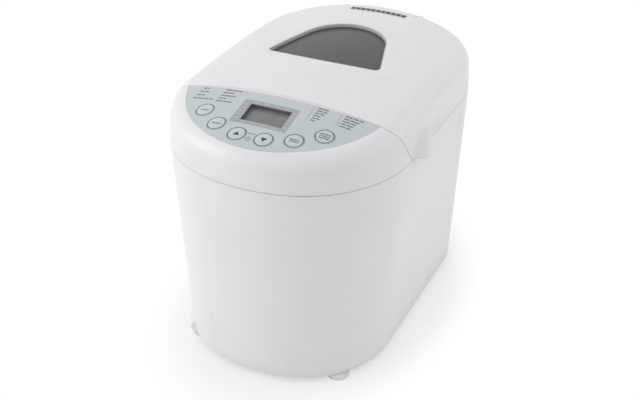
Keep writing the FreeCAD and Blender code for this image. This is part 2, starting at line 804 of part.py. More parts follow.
def window_block(grow, z0, z1):
    """Prism over the window's outline, with its two front corners rounded."""
    block = Part.Face(window_wire(grow, z0)).extrude(V(0, 0, z1 - z0))
    half = WINDOW_HALF + grow
    corners = [edge for edge in block.Edges if abs(abs(edge.CenterOfMass.x) - half) < SLIP]
    return block.makeFillet(WINDOW_CORNER + grow, corners)


def vent_block(grow, z0, z1):
    half_y = VENT_DEPTH / 2 + grow
    return box(-VENT_HALF - grow, VENT_HALF + grow, VENT_Y - half_y, VENT_Y + half_y, z0, z1)


def hinge_rod(radius, x0, x1):
    return rod(radius, (x0, HINGE_Y, HINGE_Z), (x1, HINGE_Y, HINGE_Z))


def ear_spans(gap):
    inner = BARREL_HALF + SPLIT_GAP / 2 - gap
    outer = BARREL_HALF + SPLIT_GAP / 2 + EAR_WIDTH + gap
    return [(inner, outer), (-outer, -inner)]


def lip_wire(reach, front, x, z):
    """Closed outline of the finger lip at one height: two straight flanks and a round tip."""
    tip, flank = front + LIP_OUT, LIP_TIP / 2
    start, end = (x, front, z), (x, NOTCH_Y + LIP_LENGTH, z)
    near = (x + LIP_NEAR_SHARE * reach, tip - flank, z)
    far = (x + LIP_FAR_SHARE * reach, tip + LIP_TIP, z)
    edges = [line(start, near), arc(near, (x + reach, tip + flank / 2, z), far)]
    edges += [line(far, end), line(end, start)]
    return Part.Wire(edges)


def finger_lip():
    """Flared grip at the lid's lower front right corner; its front leans back above the rim."""
    low, front = UPPER_BOTTOM, NOTCH_Y + SPLIT_GAP
    face, root = WIDTH / 2 - WALL, WALL / 2
    sections = [lip_wire(LIP_REACH + WALL, front, face, low)]
    for index in range(LIP_STEPS + 1):
        share = index / LIP_STEPS
        rise = LIP_RIM + share * (LIP_HEIGHT - LIP_RIM)
        reach = root + (LIP_REACH + WALL - root) * (1 - share) ** LIP_CURVE
        wall = face - LEAN * rise / LEAN_HEIGHT
        sections.append(lip_wire(reach, front + share * LIP_RECEDE, wall, low + rise))
    return Part.makeLoft(sections, True, True)


def lid_shell():
    half = SPLIT_GAP / 2
    outer = lid_envelope(0, 0)
    shell = outer.common(lid_region(half)).common(above(UPPER_BOTTOM))
    hollow = lid_envelope(WALL, ROOF_WALL).common(lid_region(half + WALL))
    barrel = hinge_rod(BARREL_RADIUS, -BARREL_HALF, BARREL_HALF).common(outer)
    shell = shell.fuse([finger_lip()]).cut(hollow).fuse(barrel).removeSplitter()
    tools = [window_block(0, LINER_TOP, ROOF_LIMIT), vent_block(0, LINER_TOP, ROOF_LIMIT)]
    for x0, x1 in ear_spans(SPLIT_GAP / 2):
        tools.append(box(x0, x1, HINGE_Y - EAR_RADIUS - SPLIT_GAP, HINGE_Y + BARREL_RADIUS,
                         HINGE_Z - EAR_RADIUS - SPLIT_GAP, ROOF_LIMIT))
    for side in (-1, 1):
        inner_end = side * (BARREL_HALF - PIN_GRIP - SLIP)
        tools.append(hinge_rod(PIN_RADIUS + RUNNING, inner_end, side * SIDE_REACH / 2))
    return shell.cut(tools)


def hinge_cover():
    half = SPLIT_GAP / 2
    start = HINGE_Y + half
    outer = lid_envelope(0, 0).common(box(-SIDE_REACH, SIDE_REACH, start, DEPTH, UPPER_BOTTOM, ROOF_LIMIT))
    hollow = lid_envelope(WALL, ROOF_WALL).common(
        box(-SIDE_REACH, SIDE_REACH, start + WALL, DEPTH, 0, HINGE_Z - BARREL_RADIUS - 2 * WALL))
    relief = BARREL_RADIUS + SPLIT_GAP / 2
    swing = box(-SIDE_REACH, SIDE_REACH, HINGE_Y, HINGE_Y + relief, HINGE_Z, ROOF_LIMIT)
    cover = outer.cut([hollow, hinge_rod(relief, -SIDE_REACH, SIDE_REACH), swing])
    cover = cover.fuse(seat_lip(start, DEPTH))
    ears = []
    for x0, x1 in ear_spans(0):
        ears.append(hinge_rod(EAR_RADIUS, x0, x1))
        arm = box(x0, x1, start, HINGE_Y + 2 * BARREL_RADIUS, HINGE_Z - BARREL_RADIUS - 3 * WALL, HINGE_Z)
        ears.append(arm.common(outer))
    cover = cover.fuse(ears).removeSplitter()
    return cover.cut([hinge_rod(PIN_RADIUS, -SIDE_REACH / 2, SIDE_REACH / 2)])


def hinge_pins():
    inner, outer = BARREL_HALF - PIN_GRIP, ear_spans(0)[0][1]
    return Part.Compound([hinge_rod(PIN_RADIUS, side * inner, side * outer) for side in (-1, 1)])


def window_glass():
    """Pane that follows the roof's curve, held against its underside."""
    top = ROOF_WALL + SLIP
    pane = window_block(WINDOW_MARGIN, SEAM_Z, ROOF_LIMIT).common(lid_envelope(0, top))
    return pane.cut(lid_envelope(0, top + GLASS_THICKNESS))


def window_frame():
    """Grey lining of the window's well, standing on the glass."""
    ring = window_block(-OVERLAY_GAP, SEAM_Z, ROOF_LIMIT)
    ring = ring.cut(window_block(-OVERLAY_GAP - FRAME_WALL, SEAM_Z, ROOF_LIMIT))
    return ring.common(lid_envelope(0, FRAME_RECESS)).cut(lid_envelope(0, ROOF_WALL + SLIP))


def vent_grille():
    crest = lid_height(VENT_Y)
    low = crest - ROOF_WALL - crown(VENT_HALF) - 2 * VENT_FLANGE
    frame = vent_block(-OVERLAY_GAP, low, ROOF_LIMIT)
    skirt = vent_block(VENT_FLANGE, low, low + VENT_FLANGE)
    grille = fuse_all([frame, skirt]).common(lid_envelope(0, 0))
    pitch = 2 * VENT_HALF / VENT_BARS
    tools = []
    for index in range(VENT_BARS):
        x = (index - (VENT_BARS - 1) / 2) * pitch
        half = (pitch - VENT_BAR_WIDTH) / 2
        tools.append(box(x - half, x + half, VENT_Y - VENT_DEPTH / 2 + VENT_BAR_WIDTH,
                         VENT_Y + VENT_DEPTH / 2 - VENT_BAR_WIDTH, 0, ROOF_LIMIT))
    return grille.cut(tools)


def liner_flange_solid():
    flange = slab(LINER_FLANGE_Z, LINER_FLANGE_Z + SHEET, WALL + SLIP)
    return flange.common(lid_region(SPLIT_GAP / 2 + WALL + SLIP))


def lid_liner():
    low, high = LINER_FLANGE_Z, LINER_TOP
    tray = rounded_block(LINER_HALF_X, LINER_HALF_Y, LINER_CORNER, OVEN_Y, low, high)
    inside = rounded_block(LINER_HALF_X - SHEET, LINER_HALF_Y - SHEET, LINER_CORNER - SHEET, OVEN_Y,
                           low - SHEET, high - SHEET)
    liner = tray.fuse(liner_flange_solid()).removeSplitter().cut(inside)
    vent = vent_block(-VENT_BAR_WIDTH, low, ROOF_LIMIT)
    vent.translate(V(0, -LINER_VENT_SET, 0))
    return liner.cut([window_block(-WINDOW_MARGIN, high - 2 * SHEET, ROOF_LIMIT), vent])


def lid_gasket():
    half_x, half_y = CHAMBER_HALF_X + SHEET, CHAMBER_HALF_Y + SHEET
    low = DECK_TOP + SHEET + SLIP
    outer = rounded_block(half_x + GASKET_WIDTH, half_y + GASKET_WIDTH, CHAMBER_CORNER + GASKET_WIDTH, OVEN_Y,
                          low, LINER_FLANGE_Z)
    return outer.cut(rounded_block(half_x, half_y, CHAMBER_CORNER, OVEN_Y, low, LINER_FLANGE_Z))


# Oven chamber

def chamber_wall():
    top = DECK_TOP + SHEET
    outer = rounded_block(CHAMBER_HALF_X + SHEET, CHAMBER_HALF_Y + SHEET, CHAMBER_CORNER + SHEET, OVEN_Y,
                          CHAMBER_FLOOR, top)
    flange = rounded_block(CHAMBER_HALF_X + CHAMBER_FLANGE, CHAMBER_HALF_Y + CHAMBER_FLANGE,
                           CHAMBER_CORNER + CHAMBER_FLANGE, OVEN_Y, DECK_TOP, top)
    inner = rounded_block(CHAMBER_HALF_X, CHAMBER_HALF_Y, CHAMBER_CORNER, OVEN_Y, CHAMBER_FLOOR, top)
    tools = [inner, probe_rod(RUNNING)] + heater_leg_holes(BUSHING_RADIUS)
    return outer.fuse(flange).removeSplitter().cut(tools)


def chamber_floor():
    plate = rounded_block(CHAMBER_HALF_X + SHEET, CHAMBER_HALF_Y + SHEET, CHAMBER_CORNER + SHEET, OVEN_Y,
                          CHAMBER_FLOOR - SHEET, CHAMBER_FLOOR)
    return plate.cut(post(TUBE_RADIUS, 0, OVEN_Y, 0, SEAM_Z / 2))


def front_wall_y():
    return OVEN_Y - CHAMBER_HALF_Y - SHEET


def heater_leg_holes(radius):
    back = front_wall_y() + SHEET + BUSHING_HALF_LENGTH
    front = front_wall_y() - 2 * BUSHING_HALF_LENGTH
    return [rod(radius, (side * HEATER_LEG_X, front, HEATER_Z), (side * HEATER_LEG_X, back, HEATER_Z))
            for side in (-1, 1)]


def heating_element():
    front = OVEN_Y - HEATER_HALF_Y
    back = OVEN_Y + HEATER_HALF_Y
    leg = front_wall_y() - HEATER_TAIL
    z, half, corner, bend = HEATER_Z, HEATER_HALF_X, HEATER_CORNER, HEATER_BEND
    slope = math.sqrt(0.5)
    turn = bend * (1 - slope)
    cut = corner * (1 - slope)
    edges = []
    edges.append(line((HEATER_LEG_X, leg, z), (HEATER_LEG_X, front - bend, z)))
    edges.append(arc((HEATER_LEG_X, front - bend, z), (HEATER_LEG_X + turn, front - turn, z),
                     (HEATER_LEG_X + bend, front, z)))
    edges.append(line((HEATER_LEG_X + bend, front, z), (half - corner, front, z)))
    edges.append(arc((half - corner, front, z), (half - cut, front + cut, z), (half, front + corner, z)))
    edges.append(line((half, front + corner, z), (half, back - corner, z)))
    edges.append(arc((half, back - corner, z), (half - cut, back - cut, z), (half - corner, back, z)))
    edges.append(line((half - corner, back, z), (0, back, z)))
    profile = Part.Wire(Part.makeCircle(HEATER_RADIUS, V(HEATER_LEG_X, leg, z), V(0, 1, 0)))
    right = Part.Wire(edges).makePipeShell([profile], True, False)
    left = right.mirror(V(0, 0, 0), V(1, 0, 0))
    return right.fuse(left).removeSplitter()


def heater_bushings():
    start = front_wall_y() - BUSHING_HALF_LENGTH
    end = front_wall_y() + SHEET + BUSHING_HALF_LENGTH
    rings = []
    for side in (-1, 1):
        x = side * HEATER_LEG_X
        body = rod(BUSHING_RADIUS, (x, start, HEATER_Z), (x, end, HEATER_Z))
        rings.append(body.cut(rod(HEATER_RADIUS, (x, start, HEATER_Z), (x, end, HEATER_Z))))
    return Part.Compound(rings)


def probe_rod(grow):
    wall = front_wall_y()
    outer, inner = (PROBE_X, wall - HEATER_TAIL, PROBE_Z), (PROBE_X, wall + PROBE_REACH, PROBE_Z)
    return rod(PROBE_RADIUS + grow, outer, inner)


def temperature_probe():
    wall = front_wall_y()
    collar = rod(2 * PROBE_RADIUS, (PROBE_X, wall - PROBE_RADIUS, PROBE_Z), (PROBE_X, wall, PROBE_Z))
    return fuse_all([probe_rod(0), collar])


def heat_shield():
    back = front_wall_y() - SHIELD_GAP
    sheet = box(-SHIELD_HALF_X, SHIELD_HALF_X, back - SHEET, back, CHASSIS_TOP, DECK_TOP - DECK_THICKNESS)
    window = rod(2 * PROBE_RADIUS + SLIP, (PROBE_X, back - WALL, PROBE_Z), (PROBE_X, back + WALL, PROBE_Z))
    return sheet.cut([window] + heater_leg_holes(BUSHING_RADIUS + SLIP))


def sector(half_angle, turn, outer, inner, z0, z1):
    """Piece of a ring about the drive axis, centred on an angle."""
    face = Part.makeCylinder(outer, z1 - z0, V(0, OVEN_Y, z0), V(0, 0, 1), 2 * half_angle)
    hole = post(inner, 0, OVEN_Y, z0, z1)
    piece = face.cut(hole)
    piece.rotate(V(0, OVEN_Y, 0), V(0, 0, 1), turn - half_angle)
    return piece


def pan_seat():
    floor = CHAMBER_FLOOR
    top = floor + SEAT_HEIGHT
    shapes = [tube(SEAT_RADIUS + SEAT_WALL, SEAT_RADIUS, 0, OVEN_Y, floor, top)]
    for turn in (0, 180):
        shapes.append(sector(HOOK_HALF_ANGLE, turn, SEAT_RADIUS + SEAT_WALL / 2, SEAT_RADIUS - HOOK_REACH,
                             floor + HOOK_DROP, floor + HOOK_DROP + HOOK_THICKNESS))
    return fuse_all(shapes)


# Bread pan

def pan_form(inset, z0, z1):
    """Tapered pan form between two heights."""
    wires = []
    for z in (z0, z1):
        draw = PAN_DRAFT * (PAN_RIM_Z - z) / (PAN_RIM_Z - PAN_BOTTOM) + inset
        wires.append(rounded_wire(PAN_HALF_X - draw, PAN_HALF_Y - draw, PAN_CORNER - draw, OVEN_Y, z))
    return Part.makeLoft(wires, True, True)


def handle_axis_z():
    return PAN_RIM_Z + HANDLE_RISE


def bread_pan():
    pan = pan_form(0, PAN_BOTTOM, PAN_RIM_Z)
    rim = rounded_block(PAN_HALF_X + PAN_RIM_WIDTH, PAN_HALF_Y + PAN_RIM_WIDTH, PAN_CORNER + PAN_RIM_WIDTH,
                        OVEN_Y, PAN_RIM_Z - PAN_RIM_HEIGHT, PAN_RIM_Z)
    ears = []
    for side in (-1, 1):
        y0, y1 = sorted((OVEN_Y + side * PAN_EAR_Y, OVEN_Y + side * (PAN_EAR_Y + PAN_EAR_THICKNESS)))
        ears.append(box(-PAN_EAR_HALF, PAN_EAR_HALF, y0, y1, PAN_RIM_Z - PAN_RIM_HEIGHT, handle_axis_z()))
        ears.append(rod(PAN_EAR_HALF, (0, y0, handle_axis_z()), (0, y1, handle_axis_z())))
    pan = pan.fuse([rim] + ears).removeSplitter()
    inside = pan_form(PAN_WALL, PAN_BOTTOM + PAN_WALL, PAN_RIM_Z)
    front, back = (0, OVEN_Y - DEPTH / 2, handle_axis_z()), (0, OVEN_Y + DEPTH / 2, handle_axis_z())
    hole = rod(HANDLE_STUB + RUNNING, front, back)
    return pan.cut([inside, hole, post(BUSH_RADIUS, 0, OVEN_Y, 0, PAN_BOTTOM + PAN_WALL)])


def pan_foot():
    bottom = CHAMBER_FLOOR + SLIP
    outer = FOOT_RING_RADIUS
    shapes = [tube(outer, outer - FOOT_RING_WALL, 0, OVEN_Y, bottom, PAN_BOTTOM)]
    for turn in (0, 180):
        shapes.append(sector(LUG_HALF_ANGLE, turn, SEAT_RADIUS - SLIP * 2, outer - FOOT_RING_WALL / 2,
                             bottom + HOOK_DROP - LUG_THICKNESS - 2 * SLIP, bottom + HOOK_DROP - 2 * SLIP))
    return fuse_all(shapes)


def pan_bush():
    top = PAN_BOTTOM + PAN_WALL + BUSH_LENGTH / 2
    body = tube(BUSH_RADIUS, SHAFT_RADIUS + RUNNING, 0, OVEN_Y, PAN_BOTTOM - BUSH_LENGTH / 6, top)
    collar = tube(BUSH_RADIUS + WALL, BUSH_RADIUS, 0, OVEN_Y, PAN_BOTTOM + PAN_WALL, top)
    return fuse_all([body, collar])


def pan_handle():
    z = handle_axis_z()
    inner = PAN_EAR_Y - HANDLE_EYE - SLIP
    wire_y = inner - HANDLE_EYE / 2
    arm, bend = HANDLE_ARM, HANDLE_BEND
    cut = bend * (1 - math.sqrt(0.5))
    front, back = OVEN_Y - wire_y, OVEN_Y + wire_y
    edges = [line((0, front, z), (arm - bend, front, z))]
    edges.append(arc((arm - bend, front, z), (arm - cut, front + cut, z), (arm, front + bend, z)))
    edges.append(line((arm, front + bend, z), (arm, back - bend, z)))
    edges.append(arc((arm, back - bend, z), (arm - cut, back - cut, z), (arm - bend, back, z)))
    edges.append(line((arm - bend, back, z), (0, back, z)))
    profile = Part.Wire(Part.makeCircle(HANDLE_WIRE, V(0, front, z), V(1, 0, 0)))
    shapes = [Part.Wire(edges).makePipeShell([profile], True, False)]
    for side in (-1, 1):
        eye = (0, OVEN_Y + side * (inner - HANDLE_EYE), z)
        face = (0, OVEN_Y + side * (PAN_EAR_Y - SLIP), z)
        end = (0, OVEN_Y + side * (PAN_EAR_Y + PAN_EAR_THICKNESS), z)
        shapes.append(rod(HANDLE_EYE, eye, face))
        shapes.append(rod(HANDLE_STUB, face, end))
    return fuse_all(shapes)


def handle_grip():
    z = handle_axis_z()
    start, end = (HANDLE_ARM, OVEN_Y - GRIP_LENGTH / 2, z), (HANDLE_ARM, OVEN_Y + GRIP_LENGTH / 2, z)
    return rod(GRIP_RADIUS, start, end).cut(rod(HANDLE_WIRE, start, end))


def blade_bottom():
    return PAN_BOTTOM + PAN_WALL + BUSH_LENGTH / 2 + BLADE_LIFT


def dog_floor():
    return CHAMBER_FLOOR + SLIP


def pan_shaft():
    """Shaft through the pan's floor with the wing that the driving dog turns."""
    low = dog_floor() + DOG_DISC + SLIP
    high = low + DOG_PRONG - SLIP
    shaft = post(SHAFT_RADIUS, 0, OVEN_Y, low, blade_bottom() + BLADE_HUB_HEIGHT - WALL)
    half = WING_WIDTH / 2
    wing = box(-half, half, OVEN_Y - DOG_RADIUS + SLIP, OVEN_Y + DOG_RADIUS - SLIP, low, high)
    return fuse_all([shaft, wing])


def kneading_blade():
    low = blade_bottom()
    top_radius = BLADE_HUB_RADIUS - BLADE_HUB_TAPER
    hub = Part.makeCone(BLADE_HUB_RADIUS, top_radius, BLADE_HUB_HEIGHT, V(0, OVEN_Y, low))
    half = BLADE_THICKNESS / 2
    profile = [V(0, OVEN_Y - half, low), V(BLADE_REACH, OVEN_Y - half, low),
               V(BLADE_REACH - BLADE_HEIGHT / 2, OVEN_Y - half, low + BLADE_HEIGHT),
               V(0, OVEN_Y - half, low + BLADE_HEIGHT)]
    wing = Part.Face(Part.makePolygon(profile + profile[:1])).extrude(V(0, BLADE_THICKNESS, 0))
    socket = post(SHAFT_RADIUS, 0, OVEN_Y, low - SLIP, low + BLADE_HUB_HEIGHT - WALL)
    return fuse_all([hub, wing]).cut(socket)


# Drive train

def driving_dog():
    low = dog_floor()
    disc = post(DOG_RADIUS, 0, OVEN_Y, low, low + DOG_DISC)
    ring = tube(DOG_RADIUS, DOG_INNER, 0, OVEN_Y, low + DOG_DISC, low + DOG_DISC + DOG_PRONG)
    half = DOG_WIDTH / 2
    bar = box(-DOG_RADIUS, DOG_RADIUS, OVEN_Y - half, OVEN_Y + half, low, low + DOG_DISC + DOG_PRONG)
    return fuse_all([disc, ring.common(bar)]).cut(post(SHAFT_RADIUS, 0, OVEN_Y, low - SLIP, low + DOG_DISC))


def main_shaft():
    return post(SHAFT_RADIUS, 0, OVEN_Y, PULLEY_BOTTOM - PULLEY_HUB, dog_floor() + DOG_DISC)


def bearing_housing():
    floor = CHAMBER_FLOOR - SHEET
    low = CHASSIS_TOP - BUSH_LENGTH
    shapes = [post(TUBE_RADIUS, 0, OVEN_Y, low, floor)]
    shapes.append(post(TUBE_FLANGE, 0, OVEN_Y, CHASSIS_TOP, CHASSIS_TOP + 2 * CHASSIS_SHEET))
    shapes.append(post(TUBE_COLLAR, 0, OVEN_Y, floor - 2 * CHASSIS_SHEET, floor))
    return fuse_all(shapes).cut(post(BUSH_RADIUS, 0, OVEN_Y, low, floor))


def main_bushes():
    floor = CHAMBER_FLOOR - SHEET
    low = CHASSIS_TOP - BUSH_LENGTH
    rings = []
    for z in (low, floor - BUSH_LENGTH):
        rings.append(tube(BUSH_RADIUS, SHAFT_RADIUS + RUNNING, 0, OVEN_Y, z, z + BUSH_LENGTH))
    return Part.Compound(rings)


def pulley(radius, y):
    bottom, top = PULLEY_BOTTOM, PULLEY_BOTTOM + PULLEY_HEIGHT
    body = post(radius + PULLEY_FLANGE, 0, y, bottom, top)
    track = tube(radius + 2 * PULLEY_FLANGE, radius, 0, y,
                 bottom + PULLEY_FLANGE_HEIGHT, top - PULLEY_FLANGE_HEIGHT)
    tools = [track, post(SHAFT_RADIUS, 0, y, bottom, top)]
    rim = radius - PULLEY_RIM
    if rim > PULLEY_HUB + PULLEY_RIM:
        middle = (bottom + top) / 2
        tools.append(tube(rim, PULLEY_HUB, 0, y, bottom, middle - PULLEY_WEB / 2))
        tools.append(tube(rim, PULLEY_HUB, 0, y, middle + PULLEY_WEB / 2, top))
    return body.cut(tools)


def belt_loop(grow):
    big, small = BIG_PULLEY_RADIUS + grow, SMALL_PULLEY_RADIUS + grow
    z = PULLEY_BOTTOM + PULLEY_FLANGE_HEIGHT + BELT_SIDE_GAP
    height = PULLEY_HEIGHT - 2 * PULLEY_FLANGE_HEIGHT - 2 * BELT_SIDE_GAP
    lean = math.asin((big - small) / (OVEN_Y - MOTOR_Y))
    nx, ny = math.cos(lean), math.sin(lean)
    big_right, small_right = (big * nx, OVEN_Y - big * ny, z), (small * nx, MOTOR_Y - small * ny, z)
    big_left, small_left = (-big_right[0], big_right[1], z), (-small_right[0], small_right[1], z)
    edges = [line(big_right, small_right), arc(small_right, (0, MOTOR_Y - small, z), small_left)]
    edges += [line(small_left, big_left), arc(big_left, (0, OVEN_Y + big, z), big_right)]
    return Part.Face(Part.Wire(edges)).extrude(V(0, 0, height))


def drive_belt():
    return belt_loop(BELT_GAP + BELT_THICKNESS).cut(belt_loop(BELT_GAP))


def motor_bolt_places():
    reach = MOTOR_BOLT_CIRCLE * math.sqrt(0.5)
    return [(sx * reach, MOTOR_Y + sy * reach) for sx in (-1, 1) for sy in (-1, 1)]


def motor_top():
    return CHASSIS_TOP + 2 * MOTOR_SHIELD + MOTOR_STACK


def bolt_holes():
    return [post(BOLT_RADIUS + HOLE_EASE, x, y, CHASSIS_TOP - WALL * 2, motor_top() + WALL)
            for x, y in motor_bolt_places()]


def motor_shields():
    low, high = CHASSIS_TOP, motor_top()
    discs = [(low, low + MOTOR_SHIELD), (high - MOTOR_SHIELD, high)]
    shapes = []
    for z0, z1 in discs:
        shapes.append(tube(MOTOR_RADIUS, SHAFT_RADIUS + RUNNING, 0, MOTOR_Y, z0, z1).cut(bolt_holes()))
    return Part.Compound(shapes)


def motor_stator():
    low = CHASSIS_TOP + MOTOR_SHIELD
    core = tube(MOTOR_RADIUS, ROTOR_RADIUS + ROTOR_GAP, 0, MOTOR_Y, low, low + MOTOR_STACK)
    return core.cut(bolt_holes())


def motor_rotor():
    low = CHASSIS_TOP + MOTOR_SHIELD + 2 * ROTOR_GAP
    core = post(ROTOR_RADIUS, 0, MOTOR_Y, low, low + MOTOR_STACK - 4 * ROTOR_GAP)
    return fuse_all([core, post(SHAFT_RADIUS, 0, MOTOR_Y, PULLEY_BOTTOM, motor_top() + SCREW_HEAD_HEIGHT)])


def motor_bolts():
    top = motor_top()
    length = top - CHASSIS_TOP + CHASSIS_SHEET
    return Part.Compound([screw((x, y, top), (0, 0, -1), BOLT_RADIUS, SCREW_HEAD, length)
                          for x, y in motor_bolt_places()])


def chassis_screw_seats():
    top = BASE_TOP + CHASSIS_SHEET
    x = CHASSIS_HALF_X + LEG_TOE / 2
    inset = LEG_TOE
    ends = (LEG_FRONT + inset, LEG_BACK - inset)
    return [((side * x, y, top), (0, 0, -1)) for side in (-1, 1) for y in ends]


def chassis():
    top = CHASSIS_TOP
    half, sheet = CHASSIS_HALF_X, CHASSIS_SHEET
    shapes = [box(-half, half, CHASSIS_FRONT, CHASSIS_BACK, top - sheet, top)]
    for side in (-1, 1):
        x0, x1 = sorted((side * half, side * (half - sheet)))
        shapes.append(box(x0, x1, LEG_FRONT, LEG_BACK, BASE_TOP, top))
        x0, x1 = sorted((side * (half - sheet), side * (half + LEG_TOE)))
        shapes.append(box(x0, x1, LEG_FRONT, LEG_BACK, BASE_TOP, BASE_TOP + sheet))
    tools = [post(TUBE_RADIUS, 0, OVEN_Y, 0, SEAM_Z), post(2 * SHAFT_RADIUS, 0, MOTOR_Y, 0, SEAM_Z)]
    tools += bolt_holes() + [screw_hole(place, into) for place, into in chassis_screw_seats()]
    return fuse_all(shapes).cut(tools)


def chassis_screws():
    length = CHASSIS_SHEET + BASE_THICKNESS
    return Part.Compound([screw(place, into, length=length) for place, into in chassis_screw_seats()])


# Electrics

def capacitor():
    top = CHASSIS_TOP + CAPACITOR_HEIGHT
    can = post(CAPACITOR_RADIUS, CAPACITOR_X, MOTOR_Y, CHASSIS_TOP, top)
    tags = []
    for x in (CAPACITOR_X - TAG_SPREAD, CAPACITOR_X + TAG_SPREAD):
        tags.append(box(x - TAG_HALF_THICKNESS, x + TAG_HALF_THICKNESS, MOTOR_Y - TAG_HALF_WIDTH,
                        MOTOR_Y + TAG_HALF_WIDTH, top, top + TAG_HEIGHT))
    return fuse_all([can] + tags)


def power_board_bottom():
    return CHASSIS_TOP + SPACER_HEIGHT


def board_spacers():
    edge = 2 * SPACER_RADIUS
    spacers = []
    for x in (POWER_BOARD_X + edge, POWER_BOARD_X + POWER_BOARD_WIDTH - edge):
        for y in (POWER_BOARD_Y + edge, POWER_BOARD_Y + POWER_BOARD_LENGTH - edge):
            spacers.append(post(SPACER_RADIUS, x, y, CHASSIS_TOP, power_board_bottom()))
    return Part.Compound(spacers)


def power_board():
    low = power_board_bottom()
    return box(POWER_BOARD_X, POWER_BOARD_X + POWER_BOARD_WIDTH, POWER_BOARD_Y,
               POWER_BOARD_Y + POWER_BOARD_LENGTH, low, low + BOARD_THICKNESS)


def power_parts():
    """Transformer, relay and terminal block, one behind another on the power board."""
    top = power_board_bottom() + BOARD_THICKNESS
    x0 = POWER_BOARD_X + POWER_PART_GAP
    x1 = POWER_BOARD_X + POWER_BOARD_WIDTH - POWER_PART_GAP
    y = POWER_BOARD_Y + POWER_PART_GAP
    blocks = []
    for length, height in (TRANSFORMER_SIZE, RELAY_SIZE, TERMINAL_SIZE):
        blocks.append(box(x0, x1, y, y + length, top, top + height))
        y += length + POWER_PART_GAP
    return Part.Compound(blocks)


# Cord gland

def gland_rod(radius, y0, y1):
    return rod(radius, (0, y0, GLAND_Z), (0, y1, GLAND_Z))


def gland_wall():
    """Inside and outside of the back wall where the gland's flanges meet it."""
    back = plan(GLAND_Z - GLAND_FLANGE, 0)["back"]
    return back - WALL - 2 * SLIP, back + SLIP


def gland_tool(radius):
    inside, outside = gland_wall()
    return gland_rod(radius, inside - WALL, outside + WALL)


def cord_gland():
    inside, outside = gland_wall()
    thick = GLAND_FLANGE_THICKNESS
    shapes = [gland_rod(GLAND_NECK, inside - thick, outside + thick)]
    shapes.append(gland_rod(GLAND_FLANGE, outside, outside + thick))
    shapes.append(gland_rod(GLAND_FLANGE, inside - thick, inside))
    return fuse_all(shapes).cut(gland_rod(GLAND_BORE, inside - 2 * thick, outside + 2 * thick))


def pieces():
    """Every node of the assembly and its shape."""
    made = {
        "body_shell": body_shell(),
        "columns": columns(),
        "base_plate": base_plate(),
        "feet": feet(),
        "base_screws": screw_group(column_screws(False)),
        "deck": deck(),
        "deck_screws": screw_group(column_screws(True)),
        "cord_gland": cord_gland(),
        "control_housing": control_housing(),
        "panel_overlay": panel_overlay(),
        "control_board": control_board(),
        "switches": switches(),
        "display_module": display_module(),
        "board_screws": board_screws(),
        "lid_shell": lid_shell(),
        "window_glass": window_glass(),
        "window_frame": window_frame(),
        "vent_grille": vent_grille(),
        "lid_liner": lid_liner(),
        "lid_gasket": lid_gasket(),
        "hinge_cover": hinge_cover(),
        "hinge_pins": hinge_pins(),
        "chamber_wall": chamber_wall(),
        "chamber_floor": chamber_floor(),
        "pan_seat": pan_seat(),
        "heating_element": heating_element(),
        "heater_bushings": heater_bushings(),
        "temperature_probe": temperature_probe(),
        "heat_shield": heat_shield(),
        "bread_pan": bread_pan(),
        "pan_foot": pan_foot(),
        "pan_bush": pan_bush(),
        "pan_handle": pan_handle(),
        "handle_grip": handle_grip(),
        "pan_shaft": pan_shaft(),
        "kneading_blade": kneading_blade(),
        "driving_dog": driving_dog(),
        "main_shaft": main_shaft(),
        "bearing_housing": bearing_housing(),
        "main_bushes": main_bushes(),
        "large_pulley": pulley(BIG_PULLEY_RADIUS, OVEN_Y),
        "small_pulley": pulley(SMALL_PULLEY_RADIUS, MOTOR_Y),
        "drive_belt": drive_belt(),
        "motor_shields": motor_shields(),
        "motor_stator": motor_stator(),
        "motor_rotor": motor_rotor(),
        "motor_bolts": motor_bolts(),
        "chassis": chassis(),
        "chassis_screws": chassis_screws(),
        "capacitor": capacitor(),
        "board_spacers": board_spacers(),
        "power_board": power_board(),
        "power_parts": power_parts(),
    }
    for index, (roll, y) in enumerate(button_places(), start=1):
        made["button_%d" % index] = button(roll, y)
    return made


def main():
    os.makedirs("parts", exist_ok=True)
    for name, shape in pieces().items():
        shape.exportStep("parts/%s.step" % name)


if __name__ == "__main__":
    main()
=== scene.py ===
import json
import math

import bmesh
import bpy
from mathutils import Matrix, Vector


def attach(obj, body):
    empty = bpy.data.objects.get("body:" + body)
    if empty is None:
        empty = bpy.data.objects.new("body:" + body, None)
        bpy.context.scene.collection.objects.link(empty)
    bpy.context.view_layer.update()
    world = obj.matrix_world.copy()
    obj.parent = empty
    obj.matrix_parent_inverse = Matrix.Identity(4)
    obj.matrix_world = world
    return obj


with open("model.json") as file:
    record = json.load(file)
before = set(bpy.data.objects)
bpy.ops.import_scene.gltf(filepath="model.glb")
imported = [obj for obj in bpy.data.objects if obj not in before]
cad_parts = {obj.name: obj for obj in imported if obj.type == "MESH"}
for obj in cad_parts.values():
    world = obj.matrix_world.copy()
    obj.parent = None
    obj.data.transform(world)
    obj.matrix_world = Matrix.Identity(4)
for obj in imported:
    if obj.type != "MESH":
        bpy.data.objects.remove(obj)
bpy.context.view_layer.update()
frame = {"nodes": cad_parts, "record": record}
NODES = frame["nodes"]
MM = 0.001

# Control panel, as the part has it (metres, measured along the panel's slope)
PANEL_ORIGIN = Vector((0, -91 * MM, 283 * MM))
PANEL_TILT = Matrix.Rotation(math.radians(14), 3, "X")
CROWN_RADIUS = 510 * MM
BUTTON_ARC_RADIUS = 89.7 * MM
BUTTON_ARC_CENTRE = 24.9 * MM
BUTTON_PITCH = math.radians(18.1)
BUTTON_RADIUS = 9.3 * MM
BUTTON_PROUD = 0.35 * MM
BUTTON_COUNT = 6
DISPLAY_HALF_X = 22 * MM
DISPLAY_HALF_Y = 12.1 * MM
DISPLAY_Y = -31.6 * MM
DISPLAY_DEPTH = 4.3 * MM

